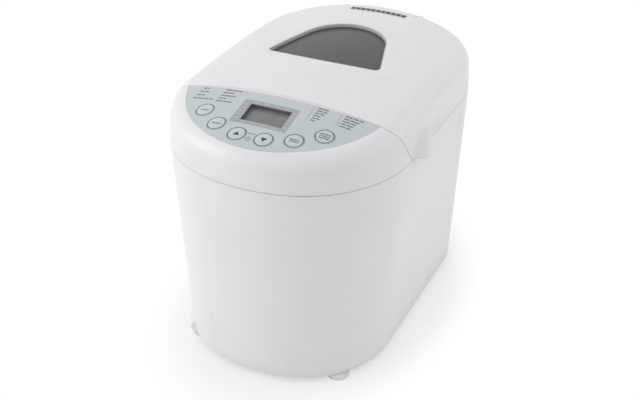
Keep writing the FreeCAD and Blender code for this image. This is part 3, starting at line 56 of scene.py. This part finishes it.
# Dark sheet on the walls of the display's well: painted shade of the recess
WELL_WALL = 0.5 * MM
WELL_TOP = -0.6 * MM

# Printed marks
INK_LIFT = 0.05 * MM
INK_SINK = 0.05 * MM
CURVE_STEP = 4 * MM
CORNER_STEPS = 8
SIDE_STEPS = 10

# Marks on the buttons, by the button's index from the left; the words are lengths in millimetres
RING_WIDTH = 0.85 * MM
RING_MARGIN = 0.25 * MM
RING_POINTS = 48
ARROW_SIZE = 3.3 * MM
ARROW_FOOT = 0.6
ARROW_TIP = 0.9
ARROW_WAYS = {2: 1, 3: -1}
BUTTON_WORDS = {0: [[2.6, 3.4, 2.0]], 1: [[3.2, 2.2, 3.4]], 4: [[3.6, 3.0, 1.8], [2.4, 4.0, 1.6]],
                5: [[3.8, 3.4, 2.2], [2.8, 4.4, 2.6], [3.6, 2.2, 3.4]]}
BUTTON_WORD_HEIGHT = 1.5 * MM
BUTTON_WORD_GAP_MM = 0.5
BUTTON_ROW_PITCH_MM = 2.6

# Band round the display and the strokes on it
BAND_HALF_X = 29.6 * MM
BAND_HALF_Y = 17 * MM
BAND_CORNER = 1.2 * MM
BAND_SHIFT = 1.4 * MM
BAND_HOLE_MARGIN = 0.2 * MM
BAND_HOLE_CORNER = 0.4 * MM
TICK_HEIGHT = 1.0 * MM
SIDE_TICK_COUNT = 5
SIDE_TICK_FIRST_MM = -42
SIDE_TICK_PITCH_MM = 5.2
SIDE_TICKS = ((-29.2 * MM, 4.6 * MM), (23.4 * MM, 3.6 * MM))
LEVEL_TICK_COUNT = 4
LEVEL_TICK_FIRST_MM = -20
LEVEL_TICK_PITCH_MM = 11
LEVEL_TICK_LENGTH = 5.4 * MM
LEVEL_TICK_ROWS = (-17.2 * MM, -46.2 * MM)

# Columns of small print, in millimetres: start, row pitch, shift of each row, and lengths of the words
PLAIN_COLUMNS = ((-84.4, -5.2, 5.4, -1.2, [[3.4, 2.6], [4.4, 4.6], [5.2, 3.4], [5.4, 7, 4.6, 4]]),
                 (-58.6, -5.0, 4.4, -0.5, [[7, 5.6, 4], [6.2, 5], [4.2, 7, 3.6], [5, 3], [6.4, 5.4, 4.6]]))
NUMBERED_COLUMNS = ((37.2, -4.8, [[5, 5], [6.4, 3.6], [4, 4.4], [7.2], [3.6, 3.4], [5.2]]),
                    (65.2, -4.8, [[7, 5.6, 4], [5.4, 9], [8, 4.4], [4.6, 6.8], [6, 4]]))
WORD_HEIGHT = 1.7 * MM
WORD_GAP = 0.8 * MM
ROW_PITCH = 3.6 * MM
NUMERAL_SIZE = 3.4 * MM
NUMERAL_DROP = 1.2 * MM
NUMERAL_ROOM_MM = 4.6
NUMERAL_CURVE_STEPS = 2
NUMERAL_MERGE_SHARE = 200

# Timer sign between the arrow buttons
CLOCK_CENTRE = (-0.4 * MM, -67.2 * MM)
CLOCK_INNER = 1.9 * MM
CLOCK_OUTER = 2.6 * MM
CLOCK_POINTS = 24
CLOCK_HAND = (-0.8 * MM, 1.0 * MM)
CLOCK_HAND_HEIGHT = 0.6 * MM
CLOCK_STROKE = (-4.4 * MM, 3.6 * MM)
CLOCK_STROKE_RISE = 7.4 * MM
CLOCK_STROKE_HEIGHT = 1.0 * MM

# Camera and stage
PHOTO_WIDTH = 640
PHOTO_HEIGHT = 400
FOCAL_PIXELS = 1000
PRINCIPAL_X = 322.63
PRINCIPAL_Y = 182.291
CAMERA_AZIMUTH = math.radians(25.873)
CAMERA_ELEVATION = math.radians(30.265)
CAMERA_DISTANCE = 1.100074
CAMERA_TARGET = Vector((0, 0, 0.138813))
SENSOR_WIDTH = 36
FLOOR_HALF = 6
FLOOR_CELLS = 8
FLOOR_TONE = 0.86
FLOOR_GLOW_SHARE = 0.6
SHADOW_NEAR = 0.19
SHADOW_FAR = 0.27
SHADOW_STRETCH = (1.5, 1, 1)
SKY_STRENGTH = 0.88

# Lamps: name, place, sides in metres and watts
LAMPS = (("key_left", (-1.5, -0.95, 0.95), (1.2, 1.2), 13),
         ("fill_right", (1.5, 0.8, 1.0), (1.2, 1.2), 4.5),
         ("overhead", (0.1, 0.5, 2.0), (1.6, 1.6), 2))

# Values of the noise between which a colour drifts
NOISE_LOW = 0.3
NOISE_HIGH = 0.7

# Edges of the solids
EDGE_ROUND = 0.4 * MM
ROUND_STEPS = 2
ROUND_ANGLE = math.radians(40)
CREASE_ANGLE = math.radians(32)
MERGE_REACH = 0.000005
ROUNDED_SLOTS = ("white_shell", "white_button")


# Shader helpers

def add_node(material, kind, **inputs):
    node = material.node_tree.nodes.new(kind)
    for name, value in inputs.items():
        node.inputs[name.replace("_", " ")].default_value = value
    return node


def link(material, output, target):
    material.node_tree.links.new(output, target)


def start_material(name, colour, roughness, metallic=0.0):
    """A material with one Principled shader, and that shader."""
    material = bpy.data.materials.new(name)
    material.use_nodes = True
    shader = material.node_tree.nodes["Principled BSDF"]
    shader.inputs["Base Color"].default_value = (*colour, 1)
    shader.inputs["Roughness"].default_value = roughness
    shader.inputs["Metallic"].default_value = metallic
    material.diffuse_color = (*colour, 1)
    return material, shader


def noise(material, scale, detail, stretch=(1, 1, 1)):
    """Noise in the part's own metres, optionally drawn out along an axis."""
    place = add_node(material, "ShaderNodeTexCoord")
    mapping = add_node(material, "ShaderNodeMapping", Scale=stretch)
    texture = add_node(material, "ShaderNodeTexNoise", Scale=scale, Detail=detail)
    link(material, place.outputs["Object"], mapping.inputs["Vector"])
    link(material, mapping.outputs["Vector"], texture.inputs["Vector"])
    return texture.outputs["Fac"]


def ramp(material, factor, stops):
    """Colour ramp through (position, colour) stops."""
    node = add_node(material, "ShaderNodeValToRGB")
    link(material, factor, node.inputs["Fac"])
    elements = node.color_ramp.elements
    while len(elements) < len(stops):
        elements.new(0.5)
    for element, (position, colour) in zip(elements, stops):
        element.position = position
        element.color = (*colour, 1)
    return node.outputs["Color"]


def vary_colour(material, shader, factor, low, high):
    stops = [(NOISE_LOW, low), (NOISE_HIGH, high)]
    link(material, ramp(material, factor, stops), shader.inputs["Base Color"])


def vary_roughness(material, shader, factor, low, high):
    spread = add_node(material, "ShaderNodeMapRange")
    spread.inputs["To Min"].default_value = low
    spread.inputs["To Max"].default_value = high
    link(material, factor, spread.inputs["Value"])
    link(material, spread.outputs["Result"], shader.inputs["Roughness"])


def add_bump(material, shader, height, strength, distance):
    node = add_node(material, "ShaderNodeBump", Strength=strength, Distance=distance)
    link(material, height, node.inputs["Height"])
    link(material, node.outputs["Normal"], shader.inputs["Normal"])


def grey(value):
    return (value, value, value)


def tinted(colour, share):
    return tuple(channel * share for channel in colour)


# Materials

def moulded_plastic(name, colour, roughness=0.34, grain=2600, depth=0.00002, tone=0.025):
    """Moulded plastic: a faint drift of tone and gloss over a fine spark-eroded grain."""
    material, shader = start_material(name, colour, roughness)
    drift = noise(material, scale=14, detail=2)
    vary_colour(material, shader, drift, tinted(colour, 1 - tone), colour)
    vary_roughness(material, shader, noise(material, scale=55, detail=4), roughness - 0.05, roughness + 0.06)
    add_bump(material, shader, noise(material, scale=grain, detail=2), strength=0.25, distance=depth)
    return material


def printed_ink(name, colour, tone):
    return moulded_plastic(name, colour, roughness=0.5, grain=2400, depth=0.00001, tone=tone)


def sheet_metal(name, colour, roughness, stretch=(1, 1, 1), grain=900, tone=0.12):
    """Rolled or brushed metal with streaks along its grain."""
    material, shader = start_material(name, colour, roughness, metallic=1.0)
    streaks = noise(material, scale=grain, detail=4, stretch=stretch)
    vary_colour(material, shader, streaks, tinted(colour, 1 - tone), colour)
    vary_roughness(material, shader, noise(material, scale=40, detail=3), roughness - 0.06, roughness + 0.08)
    add_bump(material, shader, streaks, strength=0.2, distance=0.00002)
    return material


def coated_metal(name, colour, fleck, roughness):
    """Non-stick coating: dark film with pale flecks and a soft orange peel."""
    material, shader = start_material(name, colour, roughness)
    flecks = noise(material, scale=1500, detail=1)
    stops = [(0.0, colour), (0.66, colour), (0.72, fleck)]
    link(material, ramp(material, flecks, stops), shader.inputs["Base Color"])
    vary_roughness(material, shader, noise(material, scale=80, detail=3), roughness - 0.05, roughness + 0.08)
    add_bump(material, shader, noise(material, scale=420, detail=2), strength=0.3, distance=0.00006)
    shader.inputs["Specular IOR Level"].default_value = 0.6
    return material


def rubber(name, colour):
    material, shader = start_material(name, colour, 0.7)
    vary_colour(material, shader, noise(material, scale=60, detail=3), tinted(colour, 0.85), colour)
    vary_roughness(material, shader, noise(material, scale=200, detail=3), 0.6, 0.8)
    add_bump(material, shader, noise(material, scale=1800, detail=2), strength=0.4, distance=0.00005)
    return material


def smoked_glass(name):
    """Dark tinted window with a trace of the oven showing through."""
    material, shader = start_material(name, (0.042, 0.041, 0.042), 0.26)
    mottle = noise(material, scale=9, detail=2)
    vary_colour(material, shader, mottle, (0.038, 0.037, 0.038), (0.048, 0.047, 0.048))
    vary_roughness(material, shader, noise(material, scale=30, detail=3), 0.22, 0.3)
    shader.inputs["IOR"].default_value = 1.5
    shader.inputs["Transmission Weight"].default_value = 0.18
    return material


def display_glass(name):
    """Unlit liquid crystal: grey film with a faint mottling under a gloss skin."""
    material, shader = start_material(name, (0.19, 0.2, 0.197), 0.22)
    mottle = noise(material, scale=45, detail=2)
    vary_colour(material, shader, mottle, (0.18, 0.19, 0.187), (0.21, 0.22, 0.216))
    vary_roughness(material, shader, noise(material, scale=160, detail=2), 0.18, 0.28)
    return material


def circuit_board(name):
    """Green solder mask over copper tracks that show as paler lines."""
    material, shader = start_material(name, (0.02, 0.16, 0.06), 0.35)
    tracks = noise(material, scale=260, detail=0, stretch=(1, 0.15, 1))
    vary_colour(material, shader, tracks, (0.015, 0.12, 0.045), (0.04, 0.24, 0.09))
    add_bump(material, shader, tracks, strength=0.3, distance=0.00004)
    return material


def heated_steel(name):
    """Heater sheath: dark steel with blue and straw heat tints."""
    material, shader = start_material(name, (0.14, 0.13, 0.125), 0.42, metallic=0.8)
    tint = noise(material, scale=28, detail=3)
    stops = [(0.3, (0.1, 0.1, 0.115)), (0.5, (0.16, 0.14, 0.12)), (0.7, (0.22, 0.18, 0.13))]
    link(material, ramp(material, tint, stops), shader.inputs["Base Color"])
    vary_roughness(material, shader, noise(material, scale=300, detail=3), 0.35, 0.55)
    add_bump(material, shader, noise(material, scale=1200, detail=3), strength=0.3, distance=0.00004)
    return material


WHITE = (0.8, 0.8, 0.805)
PANEL_GREY = (0.545, 0.595, 0.6)

FINISHES = {
    "white_shell": moulded_plastic("white_shell", WHITE),
    "white_button": moulded_plastic("button_face", tinted(PANEL_GREY, 1.05), roughness=0.4, grain=3200),
    "panel_print": moulded_plastic("panel_print", PANEL_GREY, roughness=0.42, grain=3600,
                                   depth=0.00001, tone=0.03),
    "smoked_glass": smoked_glass("smoked_glass"),
    "dark_plastic": moulded_plastic("dark_plastic", grey(0.06), roughness=0.45, grain=1800,
                                    depth=0.00003, tone=0.15),
    # Frame round the window: pale plastic whose tone is lowered, partly painted shade of the window's recess
    "frame_grey": moulded_plastic("frame_grey", (0.56, 0.56, 0.565), roughness=0.4, grain=2200,
                                  depth=0.00002, tone=0.06),
    "vent_grey": moulded_plastic("vent_grey", (0.34, 0.335, 0.325), roughness=0.5, grain=1800,
                                 depth=0.00003, tone=0.08),
    "foot_rubber": rubber("foot_rubber", (0.82, 0.825, 0.82)),
    "belt_rubber": rubber("belt_rubber", grey(0.03)),
    "seal_silicone": rubber("seal_silicone", (0.42, 0.4, 0.37)),
    "display_face": display_glass("display_face"),
    "board_green": circuit_board("board_green"),
    "zinc_steel": sheet_metal("zinc_steel", (0.62, 0.63, 0.65), 0.34),
    "oven_coating": coated_metal("oven_coating", (0.26, 0.26, 0.265), grey(0.36), 0.42),
    "heater_sheath": heated_steel("heater_sheath"),
    "liner_metal": sheet_metal("liner_metal", (0.72, 0.72, 0.73), 0.3, stretch=(1, 0.04, 1), grain=700),
    "pan_coating": coated_metal("pan_coating", grey(0.05), grey(0.15), 0.4),
    "cast_alloy": sheet_metal("cast_alloy", (0.55, 0.55, 0.56), 0.5, grain=500),
    "bush_bronze": sheet_metal("bush_bronze", (0.6, 0.4, 0.2), 0.36),
    "ceramic": moulded_plastic("ceramic", (0.72, 0.7, 0.66), roughness=0.5, grain=900,
                               depth=0.00004, tone=0.06),
}

INK = printed_ink("print_ink", (0.085, 0.095, 0.1), tone=0.15)
INK_DARK = printed_ink("print_ink_dark", (0.03, 0.033, 0.035), tone=0.15)
INK_PALE = printed_ink("print_ink_pale", (0.2, 0.22, 0.225), tone=0.1)
INK_LIGHT = printed_ink("print_ink_light", (0.52, 0.56, 0.56), tone=0.06)
# Dark grey of the sheet in the display's well: painted shade in the recess round the display
WELL_SHADE = moulded_plastic("display_well", grey(0.13), roughness=0.5, grain=1800, depth=0.00003, tone=0.1)
INK_BAND = printed_ink("print_ink_band", (0.37, 0.4, 0.402), tone=0.06)


# Finish of the solids

def slot_of_nodes():
    """The record's material slot of each node."""
    return {entry["node"]: entry["material_slot"] for entry in frame["record"]["subparts"]}


def soften(piece, width):
    """Join the facets, round the sharp edges a little and shade the rest smooth."""
    mesh = piece.data
    if "custom_normal" in mesh.attributes:
        mesh.attributes.remove(mesh.attributes["custom_normal"])
    mesh.polygons.foreach_set("use_smooth", [True] * len(mesh.polygons))
    weld = piece.modifiers.new("join", "WELD")
    weld.merge_threshold = MERGE_REACH
    if width:
        bevel = piece.modifiers.new("round", "BEVEL")
        bevel.width = width
        bevel.segments = ROUND_STEPS
        bevel.limit_method = "ANGLE"
        bevel.angle_limit = ROUND_ANGLE
        bevel.harden_normals = False
    split = piece.modifiers.new("crease", "EDGE_SPLIT")
    split.split_angle = CREASE_ANGLE
    split.use_edge_sharp = False


def finish_solids():
    slots = slot_of_nodes()
    for name, piece in NODES.items():
        piece.data.materials.clear()
        piece.data.materials.append(FINISHES[slots[name]])
        soften(piece, EDGE_ROUND if slots[name] in ROUNDED_SLOTS else 0)


finish_solids()


# Marks printed on the panel and the buttons

def on_panel(x, y, lift):
    """Point on the crowned panel, from the place along its slope."""
    drop = math.sqrt(CROWN_RADIUS ** 2 - x ** 2) - CROWN_RADIUS
    return PANEL_ORIGIN + PANEL_TILT @ Vector((x, y, drop + lift))


def button_place(index):
    """Roll about the crown's axis and place along the slope of a button."""
    angle = (index - (BUTTON_COUNT - 1) / 2) * BUTTON_PITCH
    x = BUTTON_ARC_RADIUS * math.sin(angle)
    y = BUTTON_ARC_CENTRE - BUTTON_ARC_RADIUS * math.cos(angle)
    return math.asin(x / CROWN_RADIUS), y


def on_button(index):
    """Mapping from a button's own face coordinates to the part's frame."""
    roll, middle = button_place(index)
    turn = Matrix.Rotation(roll, 3, "Y")

    def place(x, y, lift):
        spoke = Vector((x, middle + y, BUTTON_PROUD + lift + CROWN_RADIUS))
        return PANEL_ORIGIN + PANEL_TILT @ (turn @ spoke - Vector((0, 0, CROWN_RADIUS)))
    return place


def prism(mesh, outline, place):
    """Thin closed plate over a flat outline, laid on a surface."""
    top = [mesh.verts.new(place(x, y, INK_LIFT)) for x, y in outline]
    bottom = [mesh.verts.new(place(x, y, -INK_SINK)) for x, y in outline]
    mesh.faces.new(top)
    mesh.faces.new(bottom[::-1])
    for index in range(len(outline)):
        after = (index + 1) % len(outline)
        mesh.faces.new((bottom[index], bottom[after], top[after], top[index]))


def ribbon(mesh, inner, outer, place):
    """Thin closed band between two outlines with the same number of points."""
    loops = []
    for outline, lift in ((inner, INK_LIFT), (outer, INK_LIFT), (outer, -INK_SINK), (inner, -INK_SINK)):
        loops.append([mesh.verts.new(place(x, y, lift)) for x, y in outline])
    count = len(inner)
    for first, second in zip(loops, loops[1:] + loops[:1]):
        for index in range(count):
            after = (index + 1) % count
            mesh.faces.new((first[index], second[index], second[after], first[after]))


def mark(name, material, body, draw):
    """A printed piece: draw fills its mesh, and it rides on a body."""
    mesh = bmesh.new()
    draw(mesh)
    bmesh.ops.recalc_face_normals(mesh, faces=mesh.faces)
    data = bpy.data.meshes.new(name)
    mesh.to_mesh(data)
    mesh.free()
    data.materials.append(material)
    piece = bpy.data.objects.new(name, data)
    bpy.context.scene.collection.objects.link(piece)
    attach(piece, body)


def circle(radius, count=RING_POINTS, centre=(0, 0)):
    steps = [2 * math.pi * index / count for index in range(count)]
    return [(centre[0] + radius * math.cos(step), centre[1] + radius * math.sin(step)) for step in steps]


def bar(x0, x1, y, height):
    """Outline of a short level stroke, with points along it to follow the crown."""
    steps = max(1, math.ceil((x1 - x0) / CURVE_STEP))
    lower = [(x0 + (x1 - x0) * index / steps, y - height / 2) for index in range(steps + 1)]
    upper = [(x, y + height / 2) for x, _ in reversed(lower)]
    return lower + upper


def metres(lengths):
    return [length * MM for length in lengths]


def word_row(mesh, place, x, y, lengths, height, gap):
    """Row of short strokes that stands for a line of small print."""
    for length in lengths:
        prism(mesh, bar(x, x + length, y, height), place)
        x += length + gap


def rounded_outline(half_x, half_y, radius, centre_y):
    """Rectangle with round corners as a list of points, with points along its sides."""
    points = []
    for quarter, (sx, sy) in enumerate(((1, 1), (-1, 1), (-1, -1), (1, -1))):
        for index in range(CORNER_STEPS + 1):
            angle = math.pi / 2 * (quarter + index / CORNER_STEPS)
            x = sx * (half_x - radius) + radius * math.cos(angle)
            y = centre_y + sy * (half_y - radius) + radius * math.sin(angle)
            points.append((x, y))
        nx, ny = ((-1, 1), (-1, -1), (1, -1), (1, 1))[quarter]
        start = points[-1]
        end_angle = math.pi / 2 * (quarter + 1)
        end = (nx * (half_x - radius) + radius * math.cos(end_angle),
               centre_y + ny * (half_y - radius) + radius * math.sin(end_angle))
        for index in range(1, SIDE_STEPS):
            share = index / SIDE_STEPS
            points.append((start[0] + (end[0] - start[0]) * share, start[1] + (end[1] - start[1]) * share))
    return points


def button_marks():
    """A ring on each button, with an arrow or rows of strokes inside it."""
    for index in range(BUTTON_COUNT):
        place = on_button(index)
        body = f"button_{index + 1}"
        outer = BUTTON_RADIUS - RING_MARGIN

        def ring(mesh):
            ribbon(mesh, circle(outer - RING_WIDTH), circle(outer), place)
        mark(f"button_ring_{index + 1}", INK, body, ring)
        if index in ARROW_WAYS:
            way = ARROW_WAYS[index]

            def arrow(mesh):
                foot = -way * ARROW_FOOT * ARROW_SIZE
                tip = way * ARROW_TIP * ARROW_SIZE
                prism(mesh, [(-ARROW_SIZE, foot), (ARROW_SIZE, foot), (0, tip)], place)
            mark(f"button_arrow_{index + 1}", INK_DARK, body, arrow)
            continue

        def words(mesh):
            lines = BUTTON_WORDS[index]
            for number, lengths in enumerate(lines):
                y = ((len(lines) - 1) / 2 - number) * BUTTON_ROW_PITCH_MM * MM
                width = sum(lengths) + BUTTON_WORD_GAP_MM * (len(lengths) - 1)
                word_row(mesh, place, -width / 2 * MM, y, metres(lengths), BUTTON_WORD_HEIGHT,
                         BUTTON_WORD_GAP_MM * MM)
        mark(f"button_words_{index + 1}", INK_PALE, body, words)


def display_marks():
    """Grey band round the display, with paler strokes on it."""
    def band(mesh):
        hole = rounded_outline(DISPLAY_HALF_X + BAND_HOLE_MARGIN, DISPLAY_HALF_Y + BAND_HOLE_MARGIN,
                               BAND_HOLE_CORNER, DISPLAY_Y)
        edge = rounded_outline(BAND_HALF_X, BAND_HALF_Y, BAND_CORNER, DISPLAY_Y)
        ribbon(mesh, hole, [(x - BAND_SHIFT, y) for x, y in edge], on_panel)
    mark("display_band", INK_BAND, "machine", band)

    def ticks(mesh):
        for index in range(SIDE_TICK_COUNT):
            y = (SIDE_TICK_FIRST_MM + SIDE_TICK_PITCH_MM * index) * MM
            for x, length in SIDE_TICKS:
                prism(mesh, bar(x, x + length, y, TICK_HEIGHT), lifted)
        for index in range(LEVEL_TICK_COUNT):
            x = (LEVEL_TICK_FIRST_MM + LEVEL_TICK_PITCH_MM * index) * MM
            for y in LEVEL_TICK_ROWS:
                prism(mesh, bar(x, x + LEVEL_TICK_LENGTH, y, TICK_HEIGHT), lifted)
    mark("display_legend", INK_LIGHT, "machine", ticks)


def lifted(x, y, lift):
    """Panel point just above what is printed first."""
    return on_panel(x, y, lift + INK_LIFT)


def lining(mesh, half_x, half_y, middle, wall, low, high):
    """Four thin walls round a rectangular well."""
    loops = []
    for grow, z in ((0, low), (0, high), (-wall, high), (-wall, low)):
        corners = [(sx * (half_x + grow), middle + sy * (half_y + grow))
                   for sx, sy in ((1, 1), (-1, 1), (-1, -1), (1, -1))]
        loops.append([mesh.verts.new(PANEL_ORIGIN + PANEL_TILT @ Vector((x, y, z))) for x, y in corners])
    for first, second in zip(loops, loops[1:] + loops[:1]):
        for index in range(4):
            after = (index + 1) % 4
            mesh.faces.new((first[index], second[index], second[after], first[after]))


# Dark sheet on the walls of the display's recess: painted shade along the edges of the display
def display_well():
    def walls(mesh):
        lining(mesh, DISPLAY_HALF_X, DISPLAY_HALF_Y, DISPLAY_Y, WELL_WALL, -DISPLAY_DEPTH, WELL_TOP)
    mark("display_well", WELL_SHADE, "machine", walls)


def numeral(mesh, text, x, y):
    """Plain figure from the built-in font, laid on the panel."""
    curve = bpy.data.curves.new("figure", "FONT")
    curve.body = text
    curve.size = NUMERAL_SIZE
    curve.resolution_u = NUMERAL_CURVE_STEPS
    holder = bpy.data.objects.new("figure", curve)
    flat = bpy.data.meshes.new_from_object(holder)
    shape = bmesh.new()
    shape.from_mesh(flat)
    bmesh.ops.remove_doubles(shape, verts=shape.verts, dist=NUMERAL_SIZE / NUMERAL_MERGE_SHARE)
    for face in shape.faces:
        outline = [(x + vertex.co.x, y + vertex.co.y) for vertex in face.verts]
        prism(mesh, outline, on_panel)
    shape.free()
    bpy.data.objects.remove(holder)
    bpy.data.curves.remove(curve)
    bpy.data.meshes.remove(flat)


def legend_columns():
    """Rows of small print left and right of the display, with plain figures on the right."""
    def words(mesh):
        for x, y, pitch, shift, rows in PLAIN_COLUMNS:
            for row, lengths in enumerate(rows):
                word_row(mesh, on_panel, (x + shift * row) * MM, (y - pitch * row) * MM, metres(lengths),
                         WORD_HEIGHT, WORD_GAP)
        figure = 1
        for x, y, rows in NUMBERED_COLUMNS:
            for row, lengths in enumerate(rows):
                level = y * MM - ROW_PITCH * row
                numeral(mesh, str(figure), x * MM, level - NUMERAL_DROP)
                word_row(mesh, on_panel, (x + NUMERAL_ROOM_MM) * MM, level, metres(lengths),
                         WORD_HEIGHT, WORD_GAP)
                figure += 1
    mark("panel_legend", INK_PALE, "machine", words)


def clock_mark():
    """Small round timer sign between the two arrow buttons."""
    level = CLOCK_CENTRE[1]

    def sign(mesh):
        inner = circle(CLOCK_INNER, CLOCK_POINTS, CLOCK_CENTRE)
        ribbon(mesh, inner, circle(CLOCK_OUTER, CLOCK_POINTS, CLOCK_CENTRE), on_panel)
        prism(mesh, bar(*CLOCK_HAND, level, CLOCK_HAND_HEIGHT), on_panel)
        prism(mesh, bar(*CLOCK_STROKE, level + CLOCK_STROKE_RISE, CLOCK_STROKE_HEIGHT), on_panel)
    mark("timer_sign", INK_PALE, "machine", sign)


button_marks()
display_marks()
display_well()
legend_columns()
clock_mark()


# Stage, light and camera

def direct_sight(tree):
    """1 for what the camera sees itself, in a gloss or through glass, and 0 for light cast on the part."""
    paths = tree.nodes.new("ShaderNodeLightPath")
    sight = paths.outputs["Is Camera Ray"]
    for ray in ("Is Glossy Ray", "Is Transmission Ray"):
        either = tree.nodes.new("ShaderNodeMath")
        either.operation = "MAXIMUM"
        tree.links.new(sight, either.inputs[0])
        tree.links.new(paths.outputs[ray], either.inputs[1])
        sight = either.outputs[0]
    return sight


def stage_material(name, near_share):
    """White ground: white to the camera far from the part, with a share of the real shade near it."""
    material = bpy.data.materials.new(name)
    material.use_nodes = True
    tree = material.node_tree
    tree.nodes.remove(tree.nodes["Principled BSDF"])
    output = tree.nodes["Material Output"]
    diffuse = add_node(material, "ShaderNodeBsdfDiffuse", Color=(*grey(FLOOR_TONE), 1))
    glow = add_node(material, "ShaderNodeEmission", Color=(1, 1, 1, 1), Strength=1.0)
    place = add_node(material, "ShaderNodeNewGeometry")
    mapping = add_node(material, "ShaderNodeMapping", Scale=SHADOW_STRETCH)
    link(material, place.outputs["Position"], mapping.inputs["Vector"])
    distance = add_node(material, "ShaderNodeVectorMath")
    distance.operation = "LENGTH"
    link(material, mapping.outputs["Vector"], distance.inputs[0])
    share = add_node(material, "ShaderNodeMapRange")
    share.interpolation_type = "SMOOTHSTEP"
    share.inputs["From Min"].default_value = SHADOW_NEAR
    share.inputs["From Max"].default_value = SHADOW_FAR
    share.inputs["To Min"].default_value = near_share
    share.inputs["To Max"].default_value = 1.0
    link(material, distance.outputs["Value"], share.inputs["Value"])
    amount = add_node(material, "ShaderNodeMath")
    amount.operation = "MULTIPLY"
    link(material, direct_sight(tree), amount.inputs[0])
    link(material, share.outputs["Result"], amount.inputs[1])
    mix = add_node(material, "ShaderNodeMixShader")
    link(material, amount.outputs[0], mix.inputs["Fac"])
    link(material, diffuse.outputs["BSDF"], mix.inputs[1])
    link(material, glow.outputs["Emission"], mix.inputs[2])
    link(material, mix.outputs["Shader"], output.inputs["Surface"])
    return material


def floor():
    mesh = bmesh.new()
    bmesh.ops.create_grid(mesh, x_segments=FLOOR_CELLS, y_segments=FLOOR_CELLS, size=FLOOR_HALF)
    data = bpy.data.meshes.new("floor")
    mesh.to_mesh(data)
    mesh.free()
    data.materials.append(stage_material("floor_white", FLOOR_GLOW_SHARE))
    ground = bpy.data.objects.new("floor", data)
    bpy.context.scene.collection.objects.link(ground)


def area_light(name, place, size, energy):
    lamp = bpy.data.lights.new(name, "AREA")
    lamp.shape = "RECTANGLE"
    lamp.size, lamp.size_y = size
    lamp.energy = energy
    holder = bpy.data.objects.new(name, lamp)
    holder.location = place
    aim = CAMERA_TARGET - Vector(place)
    holder.rotation_euler = aim.to_track_quat("-Z", "Y").to_euler()
    bpy.context.scene.collection.objects.link(holder)


def sky():
    """Even white light; white wherever the camera sees the sky itself."""
    world = bpy.data.worlds.new("studio")
    bpy.context.scene.world = world
    world.use_nodes = True
    tree = world.node_tree
    tree.nodes.clear()
    output = tree.nodes.new("ShaderNodeOutputWorld")
    soft = tree.nodes.new("ShaderNodeBackground")
    soft.inputs["Strength"].default_value = SKY_STRENGTH
    seen = tree.nodes.new("ShaderNodeBackground")
    seen.inputs["Color"].default_value = (1, 1, 1, 1)
    mix = tree.nodes.new("ShaderNodeMixShader")
    tree.links.new(direct_sight(tree), mix.inputs["Fac"])
    tree.links.new(soft.outputs["Background"], mix.inputs[1])
    tree.links.new(seen.outputs["Background"], mix.inputs[2])
    tree.links.new(mix.outputs["Shader"], output.inputs["Surface"])


def camera():
    lens = bpy.data.cameras.new("camera")
    lens.sensor_width = SENSOR_WIDTH
    lens.lens = FOCAL_PIXELS * SENSOR_WIDTH / PHOTO_WIDTH
    lens.shift_x = (PHOTO_WIDTH / 2 - PRINCIPAL_X) / PHOTO_WIDTH
    lens.shift_y = (PRINCIPAL_Y - PHOTO_HEIGHT / 2) / PHOTO_WIDTH
    holder = bpy.data.objects.new("camera", lens)
    level = math.cos(CAMERA_ELEVATION)
    right, back = math.sin(CAMERA_AZIMUTH), -math.cos(CAMERA_AZIMUTH)
    away = Vector((level * right, level * back, math.sin(CAMERA_ELEVATION)))
    holder.location = CAMERA_TARGET + CAMERA_DISTANCE * away
    holder.rotation_euler = (-away).to_track_quat("-Z", "Y").to_euler()
    bpy.context.scene.collection.objects.link(holder)
    bpy.context.scene.camera = holder


floor()
for lamp_values in LAMPS:
    area_light(*lamp_values)
sky()
camera()
bpy.context.scene.view_settings.view_transform = "Standard"
